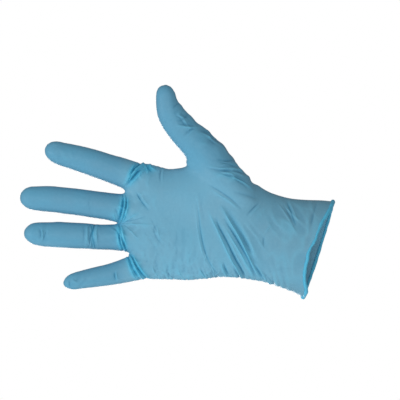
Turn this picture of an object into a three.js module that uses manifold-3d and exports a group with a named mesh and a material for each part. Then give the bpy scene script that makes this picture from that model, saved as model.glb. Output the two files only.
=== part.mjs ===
// Disposable glove for a right hand: one thin dipped film in the shape it has when worn.
//
// Millimetres, +Z up. The origin is the middle of the cuff opening. +X runs out of the cuff
// along the forearm, so the fingers point to -X. +Z is the thumb's side, and the palm faces -Y.
//
// Every digit, the palm and the rolled rim is a ring-by-ring loft through a short table of
// sections. The lofts are joined, the same lofts one wall smaller are cut out of them, and what
// is left is a hollow film that is open at the cuff.

import * as THREE from 'three';
import Module from 'manifold-3d';
import { mergeVertices } from 'three/addons/utils/BufferGeometryUtils.js';

const wasm = await Module();
wasm.setup();

// Driving dimensions

const wall = 1.2;
const beadDiameter = 2.6;
const tipDomeLength = 9;

// Where the rings of a fingertip's dome lie, as parts of its length.
const domeSteps = [0, 0.08, 0.3, 0.62];

// The palm's stations run from 0 behind the webs to 1 at the rim. Its hollow starts a little
// further back, where the fingers' own hollows take over, and runs on past the rim.
const palmHollowStart = 0.1;
const cuffOverrun = 6;

// How far each point near a crease is drawn in a pass, by how many edges it lies from the seam.
const creaseSoftening = { passes: 8, pullByRing: [0.6, 0.55, 0.4, 0.2] };

const outerSides = { digit: 16, thumb: 18, palm: 48 };
const innerSides = { digit: 10, thumb: 12, palm: 24 };
const spacing = { outerDigit: 8, outerPalm: 4.6, innerDigit: 11, innerPalm: 8 };

// How square a section is: 2 is an ellipse, more is a rounded rectangle.
const digitSquareness = 2.15;
const palmCrowding = 0.35;
const palmSquareness = 2.35;
const cuffSquareness = 2.1;

// Digits, tip first. x, y and z are the middle of the section, width is across the digit in the
// plane of the palm, and depth is from the palm side to the back.

const digitColumns = ['x', 'y', 'z', 'width', 'depth'];

const digits = {
  index: {
    baseFold: { x: -150.3, z: 59.5 },
    sections: [
      [-219.5, -6.0, 80.0, 17.0, 14.0],
      [-208.0, -5.4, 76.6, 18.6, 15.6],
      [-198.0, -4.6, 74.3, 20.2, 16.8],
      [-188.3, -3.8, 71.7, 21.2, 17.8],
      [-178.6, -3.0, 68.9, 21.9, 18.4],
      [-168.9, -2.2, 65.6, 22.3, 19.0],
      [-159.2, -1.6, 62.4, 23.4, 20.0],
      [-147.0, -0.8, 57.9, 24.0, 21.0],
      [-131.0, 0.2, 52.5, 22.0, 20.0],
    ],
  },
  middle: {
    baseFold: { x: -157.1, z: 33.2 },
    sections: [
      [-240.5, -5.4, 41.6, 17.6, 14.2],
      [-228.0, -4.8, 41.0, 19.4, 15.8],
      [-217.5, -4.2, 40.4, 20.6, 17.0],
      [-207.8, -3.5, 39.7, 21.0, 17.8],
      [-195.0, -2.7, 38.2, 21.5, 18.4],
      [-181.0, -1.9, 36.2, 21.8, 18.8],
      [-168.9, -1.3, 34.5, 22.2, 19.4],
      [-157.0, -0.6, 32.6, 23.8, 20.6],
      [-143.0, 0.2, 31.3, 23.4, 21.4],
      [-127.0, 0.8, 28.9, 21.6, 20.0],
    ],
  },
  ring: {
    baseFold: { x: -156.7, z: 9.3 },
    sections: [
      [-237.5, -6.2, 12.9, 16.4, 14.0],
      [-227.0, -5.4, 12.3, 18.6, 15.4],
      [-217.5, -4.6, 11.8, 20.0, 16.6],
      [-205.0, -3.7, 11.4, 20.8, 17.4],
      [-188.3, -2.6, 10.6, 20.8, 18.0],
      [-178.6, -2.0, 9.8, 20.4, 18.2],
      [-166.0, -1.3, 9.6, 20.8, 18.8],
      [-154.0, -0.6, 9.4, 22.8, 20.2],
      [-139.0, 0.2, 8.4, 22.4, 21.0],
      [-126.0, 0.8, 7.6, 20.6, 19.6],
    ],
  },
  little: {
    baseFold: { x: -145.4, z: -15.8 },
    sections: [
      [-205.2, -7.0, -28.4, 10.8, 12.0],
      [-196.5, -6.2, -26.0, 13.4, 13.6],
      [-188.3, -5.4, -24.3, 14.8, 14.6],
      [-178.6, -4.6, -22.5, 16.2, 15.4],
      [-168.9, -3.8, -20.8, 17.2, 16.0],
      [-159.2, -2.9, -18.5, 18.8, 17.0],
      [-148.0, -2.0, -15.4, 20.6, 18.6],
      [-135.0, -1.0, -12.6, 20.6, 19.4],
      [-122.0, 0.0, -10.6, 18.6, 18.0],
    ],
  },
  thumb: {
    baseFold: null,
    sections: [
      [-122.4, -20.5, 133.0, 15.0, 13.5],
      [-122.4, -19.8, 126.0, 16.6, 15.0],
      [-121.9, -18.8, 118.6, 18.4, 16.6],
      [-119.2, -17.6, 111.0, 20.8, 18.2],
      [-114.4, -16.0, 103.4, 23.2, 19.8],
      [-107.7, -14.2, 95.8, 25.4, 21.6],
      [-100.0, -12.2, 88.0, 26.8, 24.0],
      [-92.0, -10.2, 79.2, 28.2, 27.0],
      [-84.2, -8.6, 69.4, 29.6, 30.6],
      [-75.6, -7.4, 58.2, 31.0, 33.6],
      [-64.6, -6.4, 45.2, 29.6, 34.0],
      [-54.0, -5.4, 33.6, 24.0, 30.0],
    ],
  },
};

// Palm, wrist and cuff, finger end first. Each section is a slanted ring: topX, topZ is where it
// meets the outline on the thumb's side, lowX, lowZ on the little finger's side. palmY and backY
// are the faces, and palmBow and backBow shift the middle of each face along X.

const palmColumns = ['topX', 'topZ', 'lowX', 'lowZ', 'palmY', 'backY', 'palmBow', 'backBow'];

const palmSections = [
  [-148.0, 60.0, -144.0, -13.0, -4.2, 4.6, -9.5, -9.5],
  [-146.0, 67.0, -142.0, -20.0, -8.2, 8.8, -7.0, -7.0],
  [-138.0, 69.0, -136.0, -24.0, -11.8, 11.8, -4.0, -4.0],
  [-129.0, 67.0, -128.0, -24.4, -14.4, 14.0, -2.0, -2.0],
  [-119.0, 64.3, -119.0, -24.5, -16.4, 15.6, 0.0, 0.0],
  [-111.0, 65.0, -111.0, -24.6, -18.0, 16.4, 0.0, 0.0],
  [-104.5, 69.6, -103.0, -24.4, -19.4, 17.0, 0.0, 0.0],
  [-92.0, 66.0, -93.0, -24.0, -21.0, 17.6, 0.0, 0.0],
  [-78.0, 60.5, -80.0, -23.2, -22.8, 18.0, 0.0, 0.0],
  [-63.0, 56.0, -68.0, -23.0, -23.6, 18.6, 0.0, 0.0],
  [-53.2, 53.6, -58.5, -23.9, -23.2, 19.4, 0.0, 0.0],
  [-43.6, 48.0, -50.0, -25.4, -22.6, 20.4, -0.5, 0.5],
  [-33.0, 44.0, -42.0, -26.9, -22.4, 21.6, -1.5, 0.8],
  [-21.5, 41.0, -33.6, -29.4, -23.2, 23.0, -3.0, 1.2],
  [-8.5, 39.8, -25.4, -32.2, -25.0, 25.0, -5.0, 1.6],
  [4.0, 39.4, -17.6, -35.6, -27.0, 27.0, -7.0, 2.0],
  [13.0, 38.6, -11.6, -39.2, -28.6, 28.6, -8.3, 2.4],
];

// Main tension folds of the film on the palm side: ridges from one plan point to another.
// bend lifts the middle of the fold off the straight line, towards +Z when positive.

const foldColumns = ['fromX', 'fromZ', 'toX', 'toZ', 'bend', 'width', 'height'];

const palmFolds = [
  [-100.5, 44.0, -83.5, -23.5, 2.0, 10.0, 2.2],
  [-92.0, 62.0, -71.0, -10.0, 3.0, 9.0, 1.5],
  [-85.0, 52.0, -39.5, -25.0, -4.0, 10.5, 3.0],
  [-77.8, 18.2, -54.3, -25.0, -2.0, 9.5, 2.2],
  [-65.6, 22.3, -33.5, -23.0, -2.0, 9.5, 2.0],
  [-58.0, 27.8, -44.5, 38.7, 0.5, 8.0, 1.6],
  [-43.5, 18.0, -42.5, -2.0, 0.0, 8.5, 1.5],
  [-30.5, 39.0, -18.0, 18.5, 1.5, 9.5, 2.0],
  [-145.0, 38.0, -135.0, 26.0, 0.0, 8.0, 1.5],
];

// How fast a fold rises at its ends: under 1 is quicker than a sine.
const foldEnding = 0.6;

// Puckers across the base of each finger, where the stretched film bunches behind the webs. They are
// as high as stated on the palm side, and the given parts of that on the back and at the sides.
const gather = { count: 3, pitch: 3.4, height: 0.9, offset: -1, onBack: 0.25, onSides: 0.5, fadeOver: 1.2 };

// Flutes of the loose lower edge, between the wrist and the rim. They show between the given parts
// of the half width.
const lowerEdgeFlutes = { fromX: -84, toX: -16, count: 7, height: 0.9, fromEdge: 0.55, fullEdge: 0.95 };

const filmMaterial = new THREE.MeshStandardMaterial({
  name: 'blue_nitrile_film',
  color: new THREE.Color().setRGB(0.41, 0.64, 0.75, THREE.SRGBColorSpace),
  roughness: 0.48,
  metalness: 0,
  side: THREE.DoubleSide,
});

// Tables to smooth rows

function named(columns, row) {
  return Object.fromEntries(columns.map((column, i) => [column, row[i]]));
}

function throughPoints(points) {
  return new THREE.CatmullRomCurve3(points, false, 'catmullrom', 0.5);
}

// A smooth table: each column is read between its rows along one shared Catmull-Rom parameter.
function smoothTable(columns, rows) {
  const curves = [];
  for (let c = 0; c < columns.length; c += 3) {
    const points = rows.map((row) => new THREE.Vector3(row[c], row[c + 1] ?? 0, row[c + 2] ?? 0));
    curves.push(throughPoints(points));
  }
  return (t) => named(columns, curves.flatMap((curve) => curve.getPoint(t).toArray()));
}

// Solids

const samePoint = 1e-4;

function toSolid(geometry) {
  const bare = geometry.clone();
  bare.deleteAttribute('normal');
  bare.deleteAttribute('uv');
  const merged = mergeVertices(bare, samePoint);
  const index = merged.index.array;
  const triangles = [];
  for (let i = 0; i < index.length; i += 3) {
    const [a, b, c] = [index[i], index[i + 1], index[i + 2]];
    if (a !== b && b !== c && c !== a) triangles.push(a, b, c);
  }
  return new wasm.Manifold(new wasm.Mesh({
    numProp: 3,
    vertProperties: new Float32Array(merged.attributes.position.array),
    triVerts: new Uint32Array(triangles),
  }));
}

function toGeometry(points, triangles) {
  const geometry = new THREE.BufferGeometry();
  geometry.setAttribute('position', new THREE.BufferAttribute(points, 3));
  geometry.setIndex(new THREE.BufferAttribute(triangles, 1));
  geometry.computeVertexNormals();
  return geometry;
}

// A loft starts as a lathe of unit radius. place(turn, station, reach) then says where each of
// its points goes: turn is the angle round the ring, station the height, reach 0 to 1 from the axis.
function loft(profile, sides, place) {
  const geometry = new THREE.LatheGeometry(profile, sides);
  const position = geometry.attributes.position;
  const point = new THREE.Vector3();
  for (let i = 0; i < position.count; i += 1) {
    point.fromBufferAttribute(position, i);
    const reach = Math.hypot(point.x, point.z);
    const turn = reach < 1e-6 ? 0 : Math.atan2(-point.z, point.x);
    position.setXYZ(i, ...place(turn, point.y, reach).toArray());
  }
  return toSolid(geometry);
}

function evenSteps(from, to, pitch) {
  const count = Math.max(1, Math.round((to - from) / pitch));
  return Array.from({ length: count + 1 }, (_, i) => from + ((to - from) * i) / count);
}

// Cosine and sine pushed out towards the corners of a rounded rectangle.
function squaredTurn(turn, squareness) {
  const push = (value) => Math.sign(value) * Math.abs(value) ** (2 / squareness);
  return { across: push(Math.cos(turn)), through: push(Math.sin(turn)) };
}

// A rounded bump of the given width that is 1 in its middle and 0 at its edges.
function bump(distance, width) {
  const ratio = Math.min(1, Math.abs(distance) / (width / 2));
  return (1 + Math.cos(Math.PI * ratio)) / 2;
}

// Folds of the film

function foldHeight(x, z) {
  let tallest = 0;
  for (const row of palmFolds) {
    const fold = named(foldColumns, row);
    const alongX = fold.toX - fold.fromX;
    const alongZ = fold.toZ - fold.fromZ;
    const length = Math.hypot(alongX, alongZ);
    const along = ((x - fold.fromX) * alongX + (z - fold.fromZ) * alongZ) / length ** 2;
    if (along > 0 && along < 1) {
      const bulge = fold.bend * Math.sin(Math.PI * along);
      const aside = ((z - fold.fromZ) * alongX - (x - fold.fromX) * alongZ) / length - bulge;
      const ending = Math.sin(Math.PI * along) ** foldEnding;
      const ridge = fold.height * bump(aside, fold.width) * ending;
      tallest = Math.max(tallest, ridge);
    }
  }
  return tallest;
}

function fluteHeight(x, across) {
  const { fromX, toX, count, height, fromEdge, fullEdge } = lowerEdgeFlutes;
  const along = (x - fromX) / (toX - fromX);
  if (along < 0 || along > 1) return 0;
  const nearLowerEdge = THREE.MathUtils.smoothstep(-across, fromEdge, fullEdge);
  return height * nearLowerEdge * Math.sin(Math.PI * along) * Math.cos(2 * Math.PI * count * along);
}

function gatherHeight(distance, palmSide) {
  const { count, pitch, height, offset, onBack, fadeOver } = gather;
  const length = count * pitch;
  const shifted = distance - offset;
  if (Math.abs(shifted) > length / 2) return 0;
  const strength = THREE.MathUtils.lerp(onBack, 1, palmSide);
  return height * strength * Math.cos((2 * Math.PI * shifted) / pitch) * bump(shifted, fadeOver * length);
}

// One digit

function digitSolid(digit, sides, pitch, inset) {
  const rowAt = smoothTable(digitColumns, digit.sections);
  const bone = throughPoints(digit.sections.map(([x, y, z]) => new THREE.Vector3(x, y, z)));
  const length = bone.getLength();
  const dome = tipDomeLength - inset;

  let foldAt = null;
  const tipSteps = domeSteps.map((part) => inset + dome * part);
  let shaftSteps = evenSteps(tipDomeLength, length, pitch);
  if (digit.baseFold && inset === 0) {
    const base = new THREE.Vector3(digit.baseFold.x, 0, digit.baseFold.z);
    const flat = (t) => bone.getPointAt(t).setY(0).distanceTo(base);
    const samples = evenSteps(0, 1, 0.0025);
    foldAt = length * samples.reduce((best, t) => (flat(t) < flat(best) ? t : best), 0);
    const half = (gather.count * gather.pitch) / 2;
    const from = foldAt + gather.offset - half;
    const to = foldAt + gather.offset + half;
    shaftSteps = [
      ...evenSteps(tipDomeLength, from, pitch),
      ...evenSteps(from, to, gather.pitch / 2).slice(1),
      ...evenSteps(to, length, pitch).slice(1),
    ];
  }

  const profile = [...tipSteps, ...shaftSteps].map((distance) => {
    const short = Math.max(0, 1 - (distance - inset) / dome);
    return new THREE.Vector2(Math.sqrt(1 - short * short), distance);
  });
  profile.push(new THREE.Vector2(0, length));

  const across = new THREE.Vector3();
  const through = new THREE.Vector3();
  const place = (turn, distance, reach) => {
    const u = Math.min(1, distance / length);
    const row = rowAt(bone.getUtoTmapping(u));
    const along = bone.getTangentAt(u);
    across.set(-along.z, 0, along.x).normalize();
    through.crossVectors(across, along).normalize();
    const shape = squaredTurn(turn, digitSquareness);
    const palmSide = Math.max(0, Math.sin(turn));
    const extra = foldAt === null ? 0 : gatherHeight(distance - foldAt, palmSide);
    return bone.getPointAt(u)
      .addScaledVector(across, shape.across * reach * (row.width / 2 - inset + extra * gather.onSides))
      .addScaledVector(through, -shape.through * reach * (row.depth / 2 - inset + extra));
  };
  return loft(profile, sides, place);
}

// Palm, wrist and cuff

// Draws the ring's points together on the palm side, where the folds need them.
function crowdToPalm(turn) {
  const fromPalm = THREE.MathUtils.euclideanModulo(turn + Math.PI / 2, 2 * Math.PI) - Math.PI;
  return Math.PI / 2 + fromPalm * (1 - palmCrowding + palmCrowding * (fromPalm / Math.PI) ** 2);
}

function palmPlace(inset, withFolds) {
  const rowAt = smoothTable(palmColumns, palmSections);
  return (evenTurn, station, reach) => {
    const turn = crowdToPalm(evenTurn);
    const row = rowAt(Math.min(1, station));
    const past = Math.max(0, station - 1) * cuffOverrun;
    const squareness = THREE.MathUtils.lerp(palmSquareness, cuffSquareness, station);
    const shape = squaredTurn(turn, squareness);
    const palmSide = Math.max(0, shape.through);
    const backSide = Math.max(0, -shape.through);

    const slant = new THREE.Vector2(row.topX - row.lowX, row.topZ - row.lowZ);
    const halfWidth = slant.length() / 2 - inset;
    slant.normalize();
    const middleX = (row.topX + row.lowX) / 2;
    const middleZ = (row.topZ + row.lowZ) / 2;
    const middleY = (row.palmY + row.backY) / 2;
    let halfDepth = (row.backY - row.palmY) / 2 - inset;
    let x = middleX + slant.x * shape.across * halfWidth * reach + past;
    x += (row.palmBow * palmSide + row.backBow * backSide) * reach;
    const z = middleZ + slant.y * shape.across * halfWidth * reach;
    let edge = 0;
    if (withFolds) {
      halfDepth += foldHeight(x, z) * palmSide;
      edge = fluteHeight(x, shape.across);
    }
    const y = middleY - shape.through * halfDepth * reach;
    return new THREE.Vector3(x, y, z - edge * reach);
  };
}

function palmSolid(sides, pitch, inset) {
  const first = palmSections[0][0];
  const last = palmSections[palmSections.length - 1][0];
  const start = inset > 0 ? palmHollowStart : 0;
  const end = inset > 0 ? 2 : 1;
  const steps = evenSteps(start, 1, pitch / (last - first));
  const profile = steps.map((station) => new THREE.Vector2(1, station));
  if (end > 1) profile.push(new THREE.Vector2(1, end));
  profile.unshift(new THREE.Vector2(0, start));
  profile.push(new THREE.Vector2(0, end));
  return loft(profile, sides, palmPlace(inset, inset === 0));
}

// The film's rolled edge: a ring of round wire laid along the end of the cuff wall.
function rimBead() {
  const beadSides = 8;
  const radius = beadDiameter / 2;
  const major = 10;
  const geometry = new THREE.TorusGeometry(major, radius, beadSides, outerSides.palm);
  const position = geometry.attributes.position;
  const middleOfWall = palmPlace(wall / 2, false);
  const centre = middleOfWall(0, 1, 0);
  const point = new THREE.Vector3();
  const outward = new THREE.Vector3();
  for (let i = 0; i < position.count; i += 1) {
    point.fromBufferAttribute(position, i);
    const turn = Math.atan2(point.y, point.x);
    const rim = middleOfWall(turn, 1, 1);
    outward.copy(rim).sub(centre).setX(0).normalize();
    rim.addScaledVector(outward, Math.hypot(point.x, point.y) - major);
    position.setXYZ(i, rim.x + point.z, rim.y, rim.z);
  }
  return toSolid(geometry);
}

// For each point of a joined solid, how many edges it lies from the seam where two lofts cross.
function ringsFromSeam(mesh, neighbours, furthest) {
  const owners = Array.from({ length: neighbours.length }, () => new Set());
  mesh.runOriginalID.forEach((owner, run) => {
    for (let i = mesh.runIndex[run]; i < mesh.runIndex[run + 1]; i += 1) {
      owners[mesh.triVerts[i]].add(owner);
    }
  });
  const rings = owners.map((set) => (set.size > 1 ? 0 : Infinity));
  for (let ring = 1; ring <= furthest; ring += 1) {
    neighbours.forEach((set, i) => {
      if (rings[i] === Infinity && [...set].some((j) => rings[j] === ring - 1)) rings[i] = ring;
    });
  }
  return rings;
}

// Rounds the webs and the other creases where two lofts meet, by drawing the points near each seam
// towards the middle of their neighbours. Stretched film bridges a crease, so points move out only.
function softenCreases(solid) {
  const mesh = solid.getMesh();
  const position = mesh.vertProperties;
  const neighbours = Array.from({ length: position.length / 3 }, () => new Set());
  for (let i = 0; i < mesh.triVerts.length; i += 3) {
    const corners = mesh.triVerts.slice(i, i + 3);
    corners.forEach((corner, k) => {
      neighbours[corner].add(corners[(k + 1) % 3]);
      neighbours[corner].add(corners[(k + 2) % 3]);
    });
  }
  const { passes, pullByRing } = creaseSoftening;
  const rings = ringsFromSeam(mesh, neighbours, pullByRing.length - 1);
  const geometry = toGeometry(position, mesh.triVerts);
  const middle = new THREE.Vector3();
  const point = new THREE.Vector3();
  const outward = new THREE.Vector3();
  for (let pass = 0; pass < passes; pass += 1) {
    const before = new THREE.BufferAttribute(position.slice(), 3);
    geometry.computeVertexNormals();
    neighbours.forEach((set, i) => {
      const pull = pullByRing[rings[i]] ?? 0;
      if (pull === 0) return;
      middle.set(0, 0, 0);
      for (const j of set) middle.add(point.fromBufferAttribute(before, j));
      middle.divideScalar(set.size).sub(point.fromBufferAttribute(before, i));
      outward.fromBufferAttribute(geometry.attributes.normal, i);
      if (middle.dot(outward) > 0) {
        geometry.attributes.position.setXYZ(i, ...point.addScaledVector(middle, pull).toArray());
      }
    });
  }
  return toSolid(geometry);
}

// The whole film

function skin(sides, digitPitch, palmPitch, inset) {
  let solid = palmSolid(sides.palm, palmPitch, inset);
  for (const [name, digit] of Object.entries(digits)) {
    const around = name === 'thumb' ? sides.thumb : sides.digit;
    solid = solid.add(digitSolid(digit, around, digitPitch, inset));
  }
  return solid;
}

const outer = softenCreases(skin(outerSides, spacing.outerDigit, spacing.outerPalm, 0));
const hollow = skin(innerSides, spacing.innerDigit, spacing.innerPalm, wall);
const film = outer.subtract(hollow).add(rimBead().subtract(hollow));

const filmMesh = film.getMesh();
const gloveFilm = new THREE.Mesh(toGeometry(filmMesh.vertProperties, filmMesh.triVerts), filmMaterial);
gloveFilm.name = 'glove_film';

const glove = new THREE.Group();
glove.name = 'disposable_glove';
glove.add(gloveFilm);

export default glove;
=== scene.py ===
"""The looks of a disposable glove: one thin film of blue nitrile in the form of a worn right hand.

Metres, in the frame of the CAD part. The origin is the middle of the cuff opening. +X runs out of
the cuff, the fingers point to -X, +Z is the thumb's side and the palm faces -Y. The tables of
sections and creases are in millimetres, as the part's own are.
"""

from __future__ import annotations

import logging
import math
from dataclasses import dataclass, field
from enum import Enum
import bmesh
import bpy
import numpy as np
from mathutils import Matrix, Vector, noise
from mathutils.bvhtree import BVHTree


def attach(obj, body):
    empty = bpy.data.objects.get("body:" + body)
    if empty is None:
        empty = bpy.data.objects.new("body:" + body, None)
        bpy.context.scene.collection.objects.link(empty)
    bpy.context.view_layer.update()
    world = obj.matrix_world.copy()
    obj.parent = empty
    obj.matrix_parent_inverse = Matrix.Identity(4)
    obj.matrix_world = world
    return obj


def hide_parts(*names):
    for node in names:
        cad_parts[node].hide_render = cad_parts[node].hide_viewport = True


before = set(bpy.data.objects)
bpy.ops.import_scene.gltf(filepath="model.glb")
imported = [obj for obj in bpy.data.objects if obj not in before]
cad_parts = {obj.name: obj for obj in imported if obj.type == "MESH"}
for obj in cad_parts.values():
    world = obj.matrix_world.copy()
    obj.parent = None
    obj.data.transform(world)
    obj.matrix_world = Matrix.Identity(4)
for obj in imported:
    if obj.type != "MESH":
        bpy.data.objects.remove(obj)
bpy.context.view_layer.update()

MM = 0.001
NODE = "glove_film"
LOG = logging.getLogger("glove")


def table(kind: type, *rows: tuple, **shared: Enum) -> tuple:
    """One object of a kind for each row of its fields, with the fields that the rows share."""
    return tuple(kind(*row, **shared) for row in rows)


# Tables: the form of the film


@dataclass(frozen=True)
class DigitSection:
    """One ring of a digit: its middle, its width across the hand and its depth to the back."""

    x: float
    y: float
    z: float
    width: float
    depth: float


@dataclass(frozen=True)
class PalmSection:
    """One slanted ring of the palm, wrist or cuff.

    top and low are where it meets the outline on the thumb's and the little finger's side, palm_y
    and back_y are its faces, and bow shifts the middle of both faces along X.
    """

    top_x: float
    top_z: float
    low_x: float
    low_z: float
    palm_y: float
    back_y: float
    bow: float = 0.0


@dataclass(frozen=True)
class CuffHang:
    """How the loose cuff hangs at one distance behind the rim.

    half_depth is half its depth there, and palm and back are the shares of the rim's own bows.
    """

    behind: float
    half_depth: float
    palm: float
    back: float


INDEX = table(
    DigitSection,
    (-220.0, -6.0, 82.0, 15.8, 14.0),
    (-208.4, -5.4, 77.5, 18.4, 15.6),
    (-198.0, -4.6, 74.7, 20.0, 16.8),
    (-188.3, -3.8, 72.0, 21.0, 17.8),
    (-178.6, -3.0, 68.9, 21.9, 18.4),
    (-168.9, -2.2, 65.6, 22.3, 19.0),
    (-159.2, -1.6, 62.4, 23.4, 20.0),
    (-147.0, -0.8, 57.9, 24.0, 21.0),
    (-131.0, 0.2, 52.5, 22.0, 20.0),
)

MIDDLE = table(
    DigitSection,
    (-240.5, -5.4, 42.0, 16.6, 14.2),
    (-228.0, -4.8, 41.0, 19.4, 15.8),
    (-217.5, -4.2, 40.4, 20.6, 17.0),
    (-207.8, -3.5, 39.7, 21.0, 17.8),
    (-195.0, -2.7, 38.2, 21.5, 18.4),
    (-181.0, -1.9, 36.2, 21.8, 18.8),
    (-168.9, -1.3, 34.5, 22.2, 19.4),
    (-157.0, -0.6, 32.6, 23.8, 20.6),
    (-143.0, 0.2, 31.3, 23.4, 21.4),
    (-127.0, 0.8, 28.9, 21.6, 20.0),
)

RING = table(
    DigitSection,
    (-237.3, -6.2, 12.9, 14.9, 14.0),
    (-227.0, -5.4, 12.3, 18.6, 15.4),
    (-217.5, -4.6, 11.8, 20.0, 16.6),
    (-205.0, -3.7, 11.4, 20.8, 17.4),
    (-188.3, -2.6, 10.6, 20.8, 18.0),
    (-178.6, -2.0, 9.8, 20.4, 18.2),
    (-166.0, -1.3, 9.6, 20.8, 18.8),
    (-154.0, -0.6, 9.4, 22.8, 20.2),
    (-139.0, 0.2, 8.4, 22.4, 21.0),
    (-126.0, 0.8, 7.6, 20.6, 19.6),
)

LITTLE = table(
    DigitSection,
    (-205.2, -7.0, -28.4, 10.8, 12.0),
    (-196.5, -6.2, -26.0, 13.4, 13.6),
    (-188.3, -5.4, -24.3, 14.8, 14.6),
    (-178.6, -4.6, -22.5, 16.2, 15.4),
    (-168.9, -3.8, -20.8, 17.2, 16.0),
    (-159.2, -2.9, -18.5, 18.8, 17.0),
    (-148.0, -2.0, -15.4, 20.6, 18.6),
    (-135.0, -1.0, -12.6, 20.6, 19.4),
    (-122.0, 0.0, -10.6, 18.6, 18.0),
)

THUMB = table(
    DigitSection,
    (-122.4, -20.5, 133.0, 15.0, 13.5),
    (-122.4, -19.8, 126.0, 16.6, 15.0),
    (-121.9, -18.8, 118.6, 18.4, 16.6),
    (-119.2, -17.6, 111.0, 20.8, 18.2),
    (-114.4, -16.0, 103.4, 23.2, 19.8),
    (-107.7, -14.2, 95.8, 25.4, 21.6),
    (-100.0, -12.2, 88.0, 26.8, 24.0),
    (-92.0, -10.2, 79.2, 28.2, 27.0),
    (-84.2, -8.6, 69.4, 29.6, 30.6),
    (-75.6, -7.4, 58.2, 31.0, 33.6),
    (-64.6, -6.4, 45.2, 29.6, 34.0),
    (-54.0, -5.4, 33.6, 24.0, 30.0),
)

PALM = table(
    PalmSection,
    (-148.0, 60.0, -144.0, -13.0, -4.2, 4.6, -9.5),
    (-146.0, 67.0, -142.0, -20.0, -8.2, 8.8, -7.0),
    (-138.0, 69.0, -136.0, -24.0, -11.8, 11.8, -4.0),
    (-129.0, 67.0, -128.0, -24.4, -14.4, 14.0, -2.0),
    (-119.0, 64.3, -119.0, -24.5, -16.4, 15.6),
    (-111.0, 65.0, -111.0, -24.6, -18.0, 16.4),
    (-103.5, 67.2, -103.0, -24.4, -19.4, 17.0),
    (-92.0, 66.0, -93.0, -24.0, -21.0, 17.6),
    (-78.0, 60.5, -80.0, -23.2, -22.8, 18.0),
    (-63.0, 56.0, -68.0, -23.0, -23.6, 18.6),
    (-53.2, 53.6, -58.5, -23.9, -23.2, 19.4),
    (-43.6, 48.0, -50.0, -25.4, -22.6, 20.4),
    (-33.0, 44.0, -42.0, -26.9, -22.4, 21.6),
    (-21.5, 41.0, -33.6, -29.4, -23.2, 23.0),
    (-8.5, 39.8, -25.4, -32.2, -25.0, 25.0),
    (4.0, 39.4, -17.6, -35.6, -27.0, 27.0),
    (13.0, 38.6, -11.6, -39.2, -28.6, 28.6),
)

CUFF_HANG = table(
    CuffHang,
    (0.0, 28.6, 1.0, 1.0),
    (9.0, 27.0, 0.84, 0.83),
    (22.0, 25.0, 0.6, 0.67),
    (34.0, 23.1, 0.36, 0.5),
    (45.0, 22.0, 0.18, 0.33),
    (56.0, 21.5, 0.06, 0.2),
    (66.0, 21.3, 0.0, 0.0),
)

# How far the palm side of the rim is drawn back, from its lower corner at -1 to its upper one at 1.
PALM_RIM = (
    (-1.0, 0.8), (-0.9, -0.3), (-0.82, -2.0), (-0.76, -3.1), (-0.7, -4.0), (-0.58, -5.4), (-0.45, -6.3),
    (-0.33, -6.9), (-0.2, -7.0), (-0.14, -7.7), (-0.07, -8.0), (0.05, -7.5), (0.11, -6.5), (0.175, -6.0),
    (0.24, -5.4), (0.3, -5.7), (0.36, -5.5), (0.42, -5.3), (0.55, -4.7), (0.61, -4.2), (0.675, -3.0),
    (0.8, -1.5), (0.9, -0.8), (1.0, 0.0),
)
BACK_RIM_BOW = 2.4


# Tables: what the film does over the form


class Face(Enum):
    """The face of the glove that a swell, a crumple or a patch lies on, by the sign of its Y."""

    PALM = -1.0
    BACK = 1.0
    BOTH = 0.0


@dataclass(frozen=True)
class Crease:
    """A ridge of the film over a line of x, z points, or a furrow where its height is negative."""

    line: tuple[tuple[float, float], ...]
    width: float
    height: float


@dataclass(frozen=True)
class Swell:
    """A broad rise of the form under the film, or a hollow where its height is negative."""

    x: float
    z: float
    reach_x: float
    reach_z: float
    height: float
    face: Face


@dataclass(frozen=True)
class Flutes:
    """A row of short ripples that stand on a loose edge of the film.

    edge is the line that they stand on, as x, z points. pitch, height and lean are each given at
    its start, middle and end: lean is how far a ripple slants back for each millimetre away from
    the edge. reach is how far they run in. roundness and sink shape a ripple's section, and the
    pairs are the least share and the spread of each ripple's own reach and height.
    """

    edge: tuple[tuple[float, float], ...]
    pitch: tuple[float, float, float]
    height: tuple[float, float, float]
    lean: tuple[float, float, float]
    reach: float
    roundness: float = 0.8
    sink: float = 0.55
    own_reach: tuple[float, float] = (0.45, 1.0)
    own_height: tuple[float, float] = (0.6, 0.8)
    end_fade: float = 0.06


@dataclass(frozen=True)
class Crumple:
    """A patch of fine irregular wrinkles that run one way, fork and join.

    turn is the way that they run, in degrees from X towards Z. apart is the gap between them, along
    how far one runs before it bends, both in millimetres. bend is how much they fork, sharpness and
    crown shape a wrinkle's section, and sink is the share that lies below the film.
    """

    x: float
    z: float
    reach_x: float
    reach_z: float
    turn: float
    apart: float
    along: float
    height: float
    face: Face
    bend: float = 0.8
    sharpness: float = 3.2
    crown: float = 1.3
    sink: float = 0.25


def creases(*rows: tuple) -> tuple[Crease, ...]:
    """Creases from rows of a width, a height and then the points of the line."""
    return tuple(Crease(row[2:], row[0], row[1]) for row in rows)


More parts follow.
